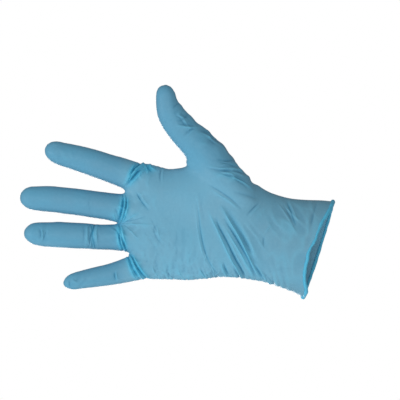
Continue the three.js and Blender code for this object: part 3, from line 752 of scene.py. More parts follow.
def scattered(number: np.ndarray, seed: float) -> np.ndarray:
    """A fixed share from 0 to 1 for each whole number: the digits after the point of a large sine."""
    return np.modf(np.abs(np.sin(number * SCATTER_TURN + seed) * SCATTER_SIZE))[0]


def noise_at(across: np.ndarray, over: np.ndarray, layer: float) -> np.ndarray:
    """A fixed smooth noise, from -1 to 1, read at each pair of numbers in one of its layers."""
    return np.array([noise.noise((u, v, layer)) for u, v in zip(across, over)])


def squared_turn(turn: np.ndarray, squareness: np.ndarray | float) -> tuple[np.ndarray, np.ndarray]:
    """Cosine and sine pushed out towards the corners of a rounded rectangle.

    Args:
        turn: Angles round a ring.
        squareness: 2 for an ellipse, more for a squarer ring.

    Returns:
        The shares of the half width and of the half depth.
    """
    power = 2 / squareness
    cosine, sine = np.cos(turn), np.sin(turn)
    return np.sign(cosine) * np.abs(cosine) ** power, np.sign(sine) * np.abs(sine) ** power


def vert_points(verts: bmesh.types.BMVertSeq | list) -> np.ndarray:
    """The places of vertices, one row each."""
    return np.array([v.co[:] for v in verts])


def move_verts(verts: bmesh.types.BMVertSeq | list, points: np.ndarray) -> None:
    """Moves vertices to new places, one row each."""
    for vert, point in zip(verts, points):
        vert.co = point


def unit_ball(bm: bmesh.types.BMesh, sides: int, rings: int) -> tuple[list, np.ndarray, np.ndarray]:
    """Adds a ball whose points a loft then moves.

    Args:
        bm: The mesh that the ball goes into.
        sides: Points round each ring.
        rings: Steps from pole to pole.

    Returns:
        The new vertices, each one's step from the first pole, and its turn round the axis.
    """
    verts = bmesh.ops.create_uvsphere(bm, u_segments=sides, v_segments=rings, radius=1.0)["verts"]
    points = vert_points(verts)
    step = np.rint(np.arccos(np.clip(points[:, 2], -1, 1)) * rings / math.pi).astype(int)
    return verts, step, np.arctan2(points[:, 1], points[:, 0])


def mesh_points(mesh: bpy.types.Mesh) -> np.ndarray:
    """Reads the mesh's points.

    Args:
        mesh: The mesh.

    Returns:
        One row for each point.
    """
    points = np.empty(3 * len(mesh.vertices))
    mesh.vertices.foreach_get("co", points)
    return points.reshape(-1, 3)


def set_mesh_points(mesh: bpy.types.Mesh, points: np.ndarray) -> None:
    """Moves the mesh's points."""
    mesh.vertices.foreach_set("co", points.ravel())
    mesh.update()


def mesh_normals(mesh: bpy.types.Mesh) -> np.ndarray:
    """Works out the mesh's normals at its points.

    Args:
        mesh: The mesh.

    Returns:
        One row for each point.
    """
    mesh.update()
    normals = np.empty(3 * len(mesh.vertices))
    mesh.vertex_normals.foreach_get("vector", normals)
    return normals.reshape(-1, 3)


def keep_number(mesh: bpy.types.Mesh, name: str, values: np.ndarray) -> None:
    """Keeps a number at each point of a mesh."""
    kept = mesh.attributes.new(name, "FLOAT", "POINT")
    kept.data.foreach_set("value", values.astype(np.float32))


def link_object(name: str, data: bpy.types.ID) -> bpy.types.Object:
    """Makes an object and puts it into the scene.

    Args:
        name: The object's name.
        data: Its mesh, lamp or camera.

    Returns:
        The object.
    """
    made = bpy.data.objects.new(name, data)
    bpy.context.collection.objects.link(made)
    return made


def finished_piece(bm: bmesh.types.BMesh, mesh: bpy.types.Mesh, name: str) -> bpy.types.Object:
    """Turns a closed bmesh into a smooth-shaded piece.

    Args:
        bm: The piece's faces, which are freed.
        mesh: The mesh that they go into.
        name: The piece's name.

    Returns:
        The piece's object.
    """
    for face in bm.faces:
        face.smooth = True
    bm.to_mesh(mesh)
    bm.free()
    mesh.name = name
    return link_object(name, mesh)


@dataclass
class Neighbours:
    """Averages over each point's neighbours along the edges of a mesh."""

    mesh: bpy.types.Mesh
    ends: np.ndarray = field(init=False)
    degree: np.ndarray = field(init=False)

    def __post_init__(self) -> None:
        """Reads the mesh's edges."""
        ends = np.empty(2 * len(self.mesh.edges), dtype=np.int32)
        self.mesh.edges.foreach_get("vertices", ends)
        self.ends = ends.reshape(-1, 2)
        count = len(self.mesh.vertices)
        self.degree = np.maximum(np.bincount(self.ends.ravel(), minlength=count), 1)

    def average(self, values: np.ndarray) -> np.ndarray:
        """Takes the mean of the values at each point's neighbours.

        Args:
            values: One row for each point.

        Returns:
            The means, in the same shape.
        """
        i, j = self.ends.T
        size = len(values)
        sums = [
            np.bincount(i, weights=column[j], minlength=size)
            + np.bincount(j, weights=column[i], minlength=size)
            for column in values.T
        ]
        return np.stack(sums, axis=1) / self.degree[:, None]


# The form


@dataclass
class Digit:
    """A finger or the thumb of the film: a closed loft through a table of sections, tip first."""

    sections: tuple[DigitSection, ...]
    dome_length: float = 9.0
    dome_steps: int = 9
    shaft_steps: int = 40
    sides: int = 44
    squareness: float = 2.15
    samples: int = 801

    def build(self, bm: bmesh.types.BMesh, inset: float) -> None:
        """Adds the digit to a mesh.

        Args:
            bm: The mesh that it goes into.
            inset: How far inside the outer film it lies, in millimetres.
        """
        rows = np.array([(s.x, s.y, s.z, s.width, s.depth) for s in self.sections])
        t = np.linspace(0, 1, self.samples)
        bone = smooth_rows(rows, t)[:, :3]
        run = run_along(bone)
        tangents = np.gradient(bone, axis=0)

        dome = self.dome_length - inset
        angles = np.linspace(0, math.pi / 2, self.dome_steps)
        shaft = np.linspace(self.dome_length, run[-1], self.shaft_steps + 1)[1:]
        distance = np.concatenate([inset + dome * (1 - np.cos(angles)), shaft, run[-1:]])
        reach = np.concatenate([np.sin(angles), np.ones(self.shaft_steps), [0]])

        verts, step, turn = unit_ball(bm, self.sides, len(distance) - 1)
        at = np.interp(distance[step], run, t)
        row = smooth_rows(rows, at)
        along = np.stack([np.interp(at, t, tangents[:, k]) for k in range(3)], axis=1)
        across = np.stack([-along[:, 2], np.zeros(len(at)), along[:, 0]], axis=1)
        across /= np.linalg.norm(across, axis=1)[:, None]
        through = np.cross(across, along)
        through /= np.linalg.norm(through, axis=1)[:, None]
        wide, deep = squared_turn(turn, self.squareness)
        half_width = (row[:, 3] / 2 - inset) * wide * reach[step]
        half_depth = (row[:, 4] / 2 - inset) * deep * reach[step]
        points = row[:, :3] + across * half_width[:, None] - through * half_depth[:, None]
        move_verts(verts, points * MM)


@dataclass
class PalmAndCuff:
    """The palm, wrist and cuff of the film: a loft of slanted rings that runs on past the rim."""

    sections: tuple[PalmSection, ...]
    hang: tuple[CuffHang, ...]
    rim_line: tuple[tuple[float, float], ...]
    back_bow: float
    steps: int = 110
    sides: int = 96
    overrun: float = 12.0
    palm_squareness: float = 2.35
    cuff_squareness: float = 2.1
    bow_fade: tuple[float, float] = (0.0, 0.3)

    def build(self, bm: bmesh.types.BMesh, inset: float) -> None:
        """Adds the palm and cuff to a mesh, without the bow of the hanging cuff.

        Args:
            bm: The mesh that it goes into.
            inset: How far inside the outer film it lies, in millimetres.
        """
        # The last ring, at 2, is the rim moved out by the overrun, and the last point closes it.
        station = np.concatenate([[0.0], np.linspace(0, 1, self.steps), [2.0, 2.0]])
        reach = np.concatenate([[0], np.ones(self.steps + 1), [0]])
        verts, step, turn = unit_ball(bm, self.sides, len(station) - 1)
        at, share = station[step], reach[step]
        row = smooth_rows(self.straight_rows(), np.minimum(at, 1))
        squareness = self.palm_squareness + (self.cuff_squareness - self.palm_squareness) * np.minimum(at, 1)
        wide, deep = squared_turn(turn, squareness)

        slant = row[:, 0:2] - row[:, 2:4]
        length = np.linalg.norm(slant, axis=1)
        slant /= length[:, None]
        half_width = (length / 2 - inset) * wide * share
        half_depth = ((row[:, 5] - row[:, 4]) / 2 - inset) * deep * share
        past = np.maximum(at - 1, 0) * self.overrun
        x = (row[:, 0] + row[:, 2]) / 2 + slant[:, 0] * half_width + past + row[:, 6] * np.abs(deep) * share
        y = (row[:, 4] + row[:, 5]) / 2 - half_depth
        z = (row[:, 1] + row[:, 3]) / 2 + slant[:, 1] * half_width
        move_verts(verts, np.stack([x, y, z], axis=1) * MM)

    def rim_plane(self) -> tuple[Vector, Vector]:
        """Finds the plane of the rim before its bow.

        Returns:
            A point on the plane, and its direction out of the cuff.
        """
        rim = self.sections[-1]
        top = Vector((rim.top_x, 0, rim.top_z)) * MM
        low = Vector((rim.low_x, 0, rim.low_z)) * MM
        slant = (top - low).normalized()
        return top, Vector((slant.z, 0, -slant.x))

    def bowed(self, points: np.ndarray) -> np.ndarray:
        """Draws the palm side of the cuff back and lets its back side hang out, as a loose cuff does.

        Args:
            points: Points of the straight cuff, in metres.

        Returns:
            The points of the bowed one.
        """
        rim = self.sections[-1]
        mm = points / MM
        lean = (rim.top_x - rim.low_x) / (rim.top_z - rim.low_z)
        behind = rim.low_x + (mm[:, 2] - rim.low_z) * lean - mm[:, 0]
        hang = np.array([(h.behind, h.half_depth, h.palm, h.back) for h in self.hang])
        half, palm_share, back_share = (np.interp(behind, hang[:, 0], hang[:, k]) for k in (1, 2, 3))
        deep = np.clip(-mm[:, 1] / half, -1, 1)
        row = smooth_rows(self.straight_rows(), self.station(mm))
        place = (mm[:, 2] - (row[:, 1] + row[:, 3]) / 2) / ((row[:, 1] - row[:, 3]) / 2)
        line = np.array(self.rim_line)
        palm_bow = np.interp(place, line[:, 0], line[:, 1]) * smooth_step(deep, *self.bow_fade)
        shift = palm_bow * palm_share + self.back_bow * back_share * np.maximum(-deep, 0)
        return points + (shift * MM)[:, None] * (1.0, 0.0, 0.0)

    def straight_rows(self) -> np.ndarray:
        """The sections as a table."""
        return np.array([
            (s.top_x, s.top_z, s.low_x, s.low_z, s.palm_y, s.back_y, s.bow) for s in self.sections
        ])

    def station(self, mm: np.ndarray) -> np.ndarray:
        """Finds where along the table of sections points lie, from 0 at its first row to 1 at the rim.

        Args:
            mm: The points in millimetres.

        Returns:
            One share for each point.
        """
        rows = self.straight_rows()
        middle = (rows[:, 0] + rows[:, 2]) / 2
        return np.interp(mm[:, 0], middle, np.linspace(0, 1, len(rows)))

    def rim_points(self, turns: np.ndarray, inset: float) -> tuple[np.ndarray, np.ndarray]:
        """Finds points along the rim and the way out from its middle at each.

        Args:
            turns: Angles round the rim.
            inset: How far inside the outer film they lie, in millimetres.

        Returns:
            The points in metres, and unit vectors across the cuff's wall.
        """
        rim = self.sections[-1]
        wide, deep = squared_turn(turns, self.cuff_squareness)
        top, low = np.array([rim.top_x, 0, rim.top_z]), np.array([rim.low_x, 0, rim.low_z])
        length = np.linalg.norm(top - low)
        slant, middle = (top - low) / length, (top + low) / 2
        points = middle + slant * ((length / 2 - inset) * wide)[:, None]
        points[:, 1] = -(rim.back_y - inset) * deep
        out = (points - middle) * (0, 1, 1)
        return self.bowed(points * MM), out / np.linalg.norm(out, axis=1)[:, None]


# The film's own shape: tension folds, gathers and the form under it


@dataclass
class FilmRelief:
    """Works out how far each point of the film stands off the plain form, how it is folded there, and the
    painted shade and painted highlight of its folds.

    The fades are spans of the normals' Y, or of its negative on the palm side. Each bunch pair is
    the height that a crease counts with and how much wider than stated it is taken. The roots of
    the fingers, the root of the thumb and the loose cuff are spans in millimetres, and the thumb's
    slant is how steeply its root runs and from where.
    """

    palm_creases: tuple[Crease, ...]
    gathers: tuple[Crease, ...]
    back_creases: tuple[Crease, ...]
    swells: tuple[Swell, ...]
    flutes: tuple[Flutes, ...]
    crumples: tuple[Crumple, ...]
    line_steps: int = 10
    edge_steps: int = 30
    line_ends: tuple[float, float] = (0.03, 0.97)
    ending: float = 0.55
    sharpness: float = 1.2
    margin: float = 3.0
    palm_fade: tuple[float, float] = (-0.45, 0.1)
    back_fade: tuple[float, float] = (0.1, 0.5)
    swell_fade: tuple[float, float] = (0.1, 0.7)
    crumple_fade: tuple[float, float] = (0.0, 0.35)
    flute_fade: tuple[float, float] = (-0.7, -0.1)
    flute_limit: float = 0.85
    cover_sharpness: float = 1.5
    least_cover: float = 0.04
    bend_scale: tuple[float, float] = (0.7, 0.4)
    bend_layer: float = 0.5
    fine_height: float = 0.4
    fine_broad: float = 2.0
    bunch_height: float = 0.7
    bunch_gathers: tuple[float, float] = (0.8, 1.9)
    bunch_folds: tuple[float, float] = (0.3, 1.5)
    # These five set the painted shade laid in the furrows of the folds and the painted highlight laid on
    # their crests.
    fine_share: float = 1.2
    full_height: float = 1.3
    shade_broad: float = 0.7
    highlight_covers_shade: float = 0.4
    shade_covers_highlight: float = 0.8
    finger_roots: tuple[float, float] = (150.0, 164.0)
    thumb_slant: tuple[float, float] = (0.35, 100.0)
    thumb_root: tuple[float, float] = (52.0, 80.0)
    loose_cuff: tuple[float, float] = (-62.0, -18.0)

    def line_points(self, crease: Crease) -> tuple[np.ndarray, np.ndarray]:
        """Takes points along a crease and how strong it is at each.

        Args:
            crease: The crease.

        Returns:
            The x, z points in millimetres, and strengths that fade to 0 at both ends.
        """
        rows = np.array(crease.line)
        t = np.linspace(0, 1, (len(rows) - 1) * self.line_steps + 1)
        return smooth_rows(rows, t), np.sin(np.pi * np.clip(t, *self.line_ends)) ** self.ending

    def crease_field(self, xz: np.ndarray, lines: tuple[Crease, ...], broad: float = 1.0) -> np.ndarray:
        """Adds up the heights of a set of creases at each point.

        Args:
            xz: The points, in millimetres.
            lines: The creases.
            broad: How much wider than stated the creases are taken.

        Returns:
            Heights in millimetres.
        """
        total = np.zeros(len(xz))
        for crease in lines:
            line, strength = self.line_points(crease)
            width = crease.width * broad
            chosen = np.flatnonzero(close_by(xz, line, self.margin * width))
            if len(chosen) == 0:
                continue
            gap, strong = self.off_line(xz[chosen], line, strength)
            total[chosen] += crease.height * strong * np.exp(-((gap / width) ** self.sharpness))
        return total

    def off_line(self, xz: np.ndarray, line: np.ndarray, values: np.ndarray) -> tuple[np.ndarray, np.ndarray]:
        """Finds how far points lie from a line, and the line's own value beside each.

        Args:
            xz: The points.
            line: The line's points.
            values: One number at each of them.

        Returns:
            Distances, and the numbers read where each point is nearest.
        """
        step = np.diff(line, axis=0)
        from_start = xz[:, None, :] - line[None, :-1, :]
        share = np.clip((from_start * step).sum(axis=2) / (step**2).sum(axis=1), 0, 1)
        gaps = np.linalg.norm(from_start - share[:, :, None] * step, axis=2)
        closest = gaps.argmin(axis=1)
        every = np.arange(len(xz))
        part = share[every, closest]
        return gaps[every, closest], values[closest] * (1 - part) + values[closest + 1] * part

    def flute_field(self, xz: np.ndarray, side: np.ndarray) -> np.ndarray:
        """Adds up the heights of the ripples of the loose edges at each point.

        Args:
            xz: The points, in millimetres.
            side: The normals' Y, below 0 on the palm side.

        Returns:
            Heights in millimetres.
        """
        total = np.zeros(len(xz))
        stages = (0.0, 0.5, 1.0)
        for flutes in self.flutes:
            rows = np.array(flutes.edge)
            t = np.linspace(0, 1, (len(rows) - 1) * self.edge_steps + 1)
            line = smooth_rows(rows, t)
            run = run_along(line)
            pitch = np.interp(t, stages, flutes.pitch)
            count = np.concatenate([[0], np.cumsum(np.diff(run) / pitch[1:])])
            near = close_by(xz, line, self.margin * flutes.reach)
            chosen = np.flatnonzero(near & (side < self.flute_limit))
            away, at = self.off_line(xz[chosen], line, t)
            height, lean = (np.interp(at, stages, values) for values in (flutes.height, flutes.lean))
            phase = np.interp(np.interp(at, t, run) + lean * away, run, count)
            index = np.floor(phase)
            own = scattered(index, len(rows))
            reach, size = (least + more * own for least, more in (flutes.own_reach, flutes.own_height))
            ridge = np.sin(np.pi * (phase - index)) ** flutes.roundness - flutes.sink
            ends = smooth_step(at, 0.0, flutes.end_fade) * smooth_step(-at, -1.0, flutes.end_fade - 1)
            facing = smooth_step(-side[chosen], *self.flute_fade)
            fade = np.exp(-((away / (flutes.reach * reach)) ** 2)) * facing
            total[chosen] += height * size * ridge * fade * ends
        return total

    def crumple_field(self, xz: np.ndarray, side: np.ndarray) -> np.ndarray:
        """Adds up the heights of the patches of fine wrinkles at each point.

        Args:
            xz: The points, in millimetres.
            side: The normals' Y, below 0 on the palm side.

        Returns:
            Heights in millimetres.
        """
        total = np.zeros(len(xz))
        for number, crumple in enumerate(self.crumples):
            facing = smooth_step(side * crumple.face.value, *self.crumple_fade)
            cover = np.exp(-(spread(xz, crumple) ** self.cover_sharpness)) * facing
            chosen = np.flatnonzero(cover > self.least_cover)
            off = xz[chosen] - (crumple.x, crumple.z)
            turn = math.radians(crumple.turn)
            run = (off @ (math.cos(turn), math.sin(turn))) / crumple.along
            over = (off @ (-math.sin(turn), math.cos(turn))) / (2 * crumple.apart)
            bend = noise_at(run * self.bend_scale[0], over * self.bend_scale[1], number + self.bend_layer)
            value = noise_at(run, over + crumple.bend * bend, float(number))
            ridge = np.clip(1 - crumple.sharpness * np.abs(value), 0, 1) ** crumple.crown
            total[chosen] += crumple.height * cover[chosen] * (ridge - crumple.sink)
        return total

    def swell_field(self, xz: np.ndarray, side: np.ndarray) -> np.ndarray:
        """Adds up the heights of the form under the film at each point.

        Args:
            xz: The points, in millimetres.
            side: The normals' Y, below 0 on the palm side.

        Returns:
            Heights in millimetres.
        """
        total = np.zeros(len(xz))
        for swell in self.swells:
            both = swell.face is Face.BOTH
            facing = 1.0 if both else smooth_step(side * swell.face.value, *self.swell_fade)
            total += swell.height * facing * np.exp(-spread(xz, swell))
        return total

    def facing_palm(self, side: np.ndarray) -> np.ndarray:
        """1 on the palm side, fading to 0 just past the outline."""
        return smooth_step(-side, *self.palm_fade)

    def facing_back(self, side: np.ndarray) -> np.ndarray:
        """1 on the back, fading to 0 before the outline."""
        return smooth_step(side, *self.back_fade)

    def height(self, points: np.ndarray, normals: np.ndarray) -> np.ndarray:
        """Works out how far each point stands off the plain form.

        Args:
            points: Points of the plain form, in metres.
            normals: Its normals.

        Returns:
            Distances along the normals, in metres.
        """
        xz, side = points[:, [0, 2]] / MM, normals[:, 1]
        palm = self.crease_field(xz, self.palm_creases) + self.crease_field(xz, self.gathers)
        back = self.crease_field(xz, self.back_creases)
        total = palm * self.facing_palm(side) + back * self.facing_back(side)
        fine = self.flute_field(xz, side) + self.crumple_field(xz, side)
        return (total + fine + self.swell_field(xz, side)) * MM

    def fine_zone(self, points: np.ndarray, normals: np.ndarray, widest: float) -> np.ndarray:
        """Finds where the mesh has to be finer: 1 or more at a crease, 0 far from any.

        Args:
            points: Points of the plain form, in metres.
            normals: Its normals.
            widest: The width of the widest creases that count, in millimetres.

        Returns:
            One number for each point.
        """
        xz, side = points[:, [0, 2]] / MM, normals[:, 1]
        chosen = self.gathers + tuple(
            c for c in self.palm_creases if c.width < widest and abs(c.height) > self.fine_height
        )
        every = tuple(Crease(c.line, c.width, 1.0) for c in chosen)
        return self.crease_field(xz, every, self.fine_broad) * self.facing_palm(side)

    def bunching(self, xz: np.ndarray, side: np.ndarray) -> np.ndarray:
        """Works out how little the film is stretched.

        Args:
            xz: The points, in millimetres.
            side: The normals' Y, below 0 on the palm side.

        Returns:
            1 in the gathers at the fingers, 0 on the stretched palm.
        """
        folds = tuple(c for c in self.palm_creases if abs(c.height) > self.bunch_height)
        total = np.zeros(len(xz))
        for lines, (height, broad) in ((self.gathers, self.bunch_gathers), (folds, self.bunch_folds)):
            total += self.crease_field(xz, tuple(Crease(c.line, c.width, height) for c in lines), broad)
        return np.clip(total * self.facing_palm(side), 0, 1)

    def snugness(self, xz: np.ndarray) -> np.ndarray:
        """Works out how closely the film hugs what fills it.

        Args:
            xz: The points, in millimetres.

        Returns:
            1 on the digits, 0 on the palm and the loose cuff.
        """
        slant, start = self.thumb_slant
        fingers = smooth_step(-xz[:, 0], *self.finger_roots)
        thumb = smooth_step(xz[:, 1] + slant * (xz[:, 0] + start), *self.thumb_root)
        return np.maximum(fingers, thumb)

    def looseness(self, xz: np.ndarray) -> np.ndarray:
        """1 at the rim of the cuff, fading to 0 at the wrist."""
        return smooth_step(xz[:, 0], *self.loose_cuff)

    def folding(self, xz: np.ndarray, side: np.ndarray) -> tuple[np.ndarray, np.ndarray]:
        """Works out the painted shade that each point gets in a furrow and the painted highlight that it gets
        on a ridge.

        Args:
            xz: The points, in millimetres.
            side: The normals' Y, below 0 on the palm side.

        Returns:
            The shares of painted shade in the furrows and of painted highlight on the crests, each from 0 to
            1.
        """
        shares = []
        fine = self.fine_share * self.flute_field(xz, side) + self.fine_share * self.crumple_field(xz, side)
        for sign in (-1, 1):
            palm, back = (
                tuple(
                    Crease(c.line, c.width, min(abs(c.height), self.full_height) / max(c.width, 1.0))
                    for c in lines if c.height * sign > 0
                )
                for lines in (self.palm_creases + self.gathers, self.back_creases)
            )
            total = self.crease_field(xz, palm, self.shade_broad) * self.facing_palm(side)
            total += self.crease_field(xz, back, self.shade_broad) * self.facing_back(side)
            shares.append(np.clip(total + np.maximum(fine * sign, 0), 0, 1))
        # The first share is painted shade in the furrows, the second a painted highlight on the crests.
        furrow, painted_highlight = shares
        low = np.clip(furrow - self.highlight_covers_shade * painted_highlight, 0, 1)
        return low, np.clip(painted_highlight - self.shade_covers_highlight * furrow, 0, 1)


# Finishes


@dataclass
class NodeGraph:
    """Adds shader nodes to a material and links them."""

    tree: bpy.types.NodeTree

    def node(self, kind: str, output: str, **inputs: float | bpy.types.NodeSocket) -> bpy.types.NodeSocket:
        """Adds a node, with numbers set on its inputs and sockets linked to them.

        Args:
            kind: The node's type.
            output: The output that is wanted.
            inputs: A number or a socket for each input, with _ for a space in its name.

        Returns:
            The output.
        """
        node = self.tree.nodes.new(f"ShaderNode{kind}")
        for name, value in inputs.items():
            socket = node.inputs[name.replace("_", " ")]
            if isinstance(value, bpy.types.NodeSocket):
                self.tree.links.new(value, socket)
            else:
                socket.default_value = value
        return node.outputs[output]

    def noise(self, size_mm: float, detail: float, rough: float = 0.5) -> bpy.types.NodeSocket:
        """Adds a noise that lies still on the object.

        Args:
            size_mm: The size of its patches, in millimetres.
            detail: How many finer layers it has.
            rough: How strong they are.

        Returns:
            Its value, from 0 to 1.
        """
        place, scale = self.node("TexCoord", "Object"), 1 / (size_mm * MM)
        return self.node("TexNoise", "Fac", Vector=place, Scale=scale, Detail=detail, Roughness=rough)

    def ranged(
        self, value: bpy.types.NodeSocket, start: tuple[float, float], end: tuple[float, float]
    ) -> bpy.types.NodeSocket:
        """Takes a value from one span to another.

        Args:
            value: The value.
            start: The span that it comes from.
            end: The span that it goes to.

        Returns:
            The new value.
        """
        return self.node(
            "MapRange", "Result", Value=value,
            From_Min=start[0], From_Max=start[1], To_Min=end[0], To_Max=end[1],
        )

    def mixed(
        self,
        share: bpy.types.NodeSocket,
        first: bpy.types.NodeSocket | tuple[float, float, float],
        second: tuple[float, float, float],
    ) -> bpy.types.NodeSocket:
        """Mixes two colours by a share.

        Args:
            share: The share of the second colour.
            first: The first colour, or a socket that gives it.
            second: The second colour.

        Returns:
            The mixed colour.
        """
        node = self.tree.nodes.new("ShaderNodeMix")
        node.data_type = "RGBA"
        self.tree.links.new(share, node.inputs["Factor"])
        one, two = (
            next(s for s in node.inputs if s.name == name and s.type == "RGBA") for name in ("A", "B")
        )
        two.default_value = (*second, 1.0)
        if isinstance(first, tuple):
            one.default_value = (*first, 1.0)
        else:
            self.tree.links.new(first, one)
        return next(s for s in node.outputs if s.type == "RGBA")

    def attribute(self, name: str) -> bpy.types.NodeSocket:
        """Reads a number that is kept at each point of the film.

        Args:
            name: The number's name.

        Returns:
            The number.
        """
        node = self.tree.nodes.new("ShaderNodeAttribute")
        node.attribute_name = name
        return node.outputs["Fac"]


@dataclass(frozen=True)
class NitrileFinish:
    """Thin blue nitrile: pale and greyish where it is stretched, deeper and bluer where it bunches, with
    painted shade in the furrows of its folds and painted highlights on their crests.
    """

    name: str = "blue_nitrile"
    stretched: tuple[float, float, float] = (0.170, 0.403, 0.552)
    snug: tuple[float, float, float] = (0.127, 0.345, 0.503)
    bunched: tuple[float, float, float] = (0.072, 0.450, 0.680)
    # deep darkens the random mottle, and it is also the painted shade laid in the furrows of the folds.
    deep: tuple[float, float, float] = (0.022, 0.165, 0.300)
    # thin is a painted highlight colour, laid on the crests of the folds and along the rim bead.
    thin: tuple[float, float, float] = (0.150, 0.510, 0.700)
    loose: tuple[float, float, float] = (0.155, 0.355, 0.480)
    cloud_mm: float = 22.0
    cloud_share: float = 0.16
    mottle_mm: float = 2.2
    mottle_share: float = 0.10
    noise_span: tuple[float, float] = (0.3, 0.7)
    mottle_span: tuple[float, float] = (0.3, 0.75)
    painted_highlight_share: float = 0.55
    painted_shade_share: float = 0.70
    painted_shade_full: float = 0.9
    roughness: float = 0.46
    roughness_spread: tuple[float, float] = (-0.05, 0.07)
    gloss: float = 0.15
    grain_mm: float = 0.35
    grain_deep_mm: float = 0.05
    grain_strength: float = 0.14
    ripple_mm: float = 3.2
    ripple_deep_mm: float = 0.25
    ripple_strength: float = 0.25

    def material(self) -> bpy.types.Material:
        """Builds the film's material from its colours, its clouding, its fine grain and the painted shade and
        painted highlights of its folds.

        Returns:
            The material.
        """
        material = bpy.data.materials.new(self.name)
        material.use_nodes = True
        shader = material.node_tree.nodes["Principled BSDF"]
        graph = NodeGraph(material.node_tree)

        cloudy = graph.noise(self.cloud_mm, detail=3.0)
        mottled = graph.noise(self.mottle_mm, detail=4.0, rough=0.6)
        clouds = graph.ranged(cloudy, self.noise_span, (0.0, self.cloud_share))
        mottle = graph.ranged(mottled, self.mottle_span, (0.0, self.mottle_share))
        # Painted highlight on the crests of the folds and painted shade in their furrows, from numbers kept
        # at the points.
        painted_highlight = graph.ranged(graph.attribute("painted_highlight"), (0.0, 1.0), (0.0, self.painted_highlight_share))
        furrow = graph.ranged(graph.attribute("furrow"), (0.0, self.painted_shade_full), (0.0, self.painted_shade_share))
        colour = self.stretched
        for share, other in (
            (graph.attribute("snug"), self.snug), (graph.attribute("loose"), self.loose),
            (graph.attribute("bunch"), self.bunched), (clouds, self.bunched), (mottle, self.deep),
            (painted_highlight, self.thin), (furrow, self.deep),
        ):
            colour = graph.mixed(share, colour, other)
        least, most = (self.roughness + share for share in self.roughness_spread)
        rough = graph.ranged(graph.noise(self.mottle_mm, detail=3.0), self.noise_span, (least, most))
        grain = graph.node(
            "Bump", "Normal", Strength=self.grain_strength, Distance=self.grain_deep_mm * MM,
            Height=graph.noise(self.grain_mm, detail=3.0, rough=0.6),
        )
        ripple = graph.node(
            "Bump", "Normal", Strength=self.ripple_strength, Distance=self.ripple_deep_mm * MM,
            Height=graph.noise(self.ripple_mm, detail=2.0, rough=0.45), Normal=grain,
        )
        for name, value in (("Base Color", colour), ("Roughness", rough), ("Normal", ripple)):
            material.node_tree.links.new(value, shader.inputs[name])
        shader.inputs["Specular IOR Level"].default_value = self.gloss
        return material


@dataclass(frozen=True)
class PlainFinish:
    """A plain matt finish for what stands round the glove."""

    name: str
    colour: tuple[float, float, float]
    roughness: float

    def material(self) -> bpy.types.Material:
        """Builds the finish.

        Returns:
            The material.
        """
        material = bpy.data.materials.new(self.name)
        material.use_nodes = True
        shader = material.node_tree.nodes["Principled BSDF"]
        shader.inputs["Base Color"].default_value = (*self.colour, 1.0)
        shader.inputs["Roughness"].default_value = self.roughness
        return material


# The pieces


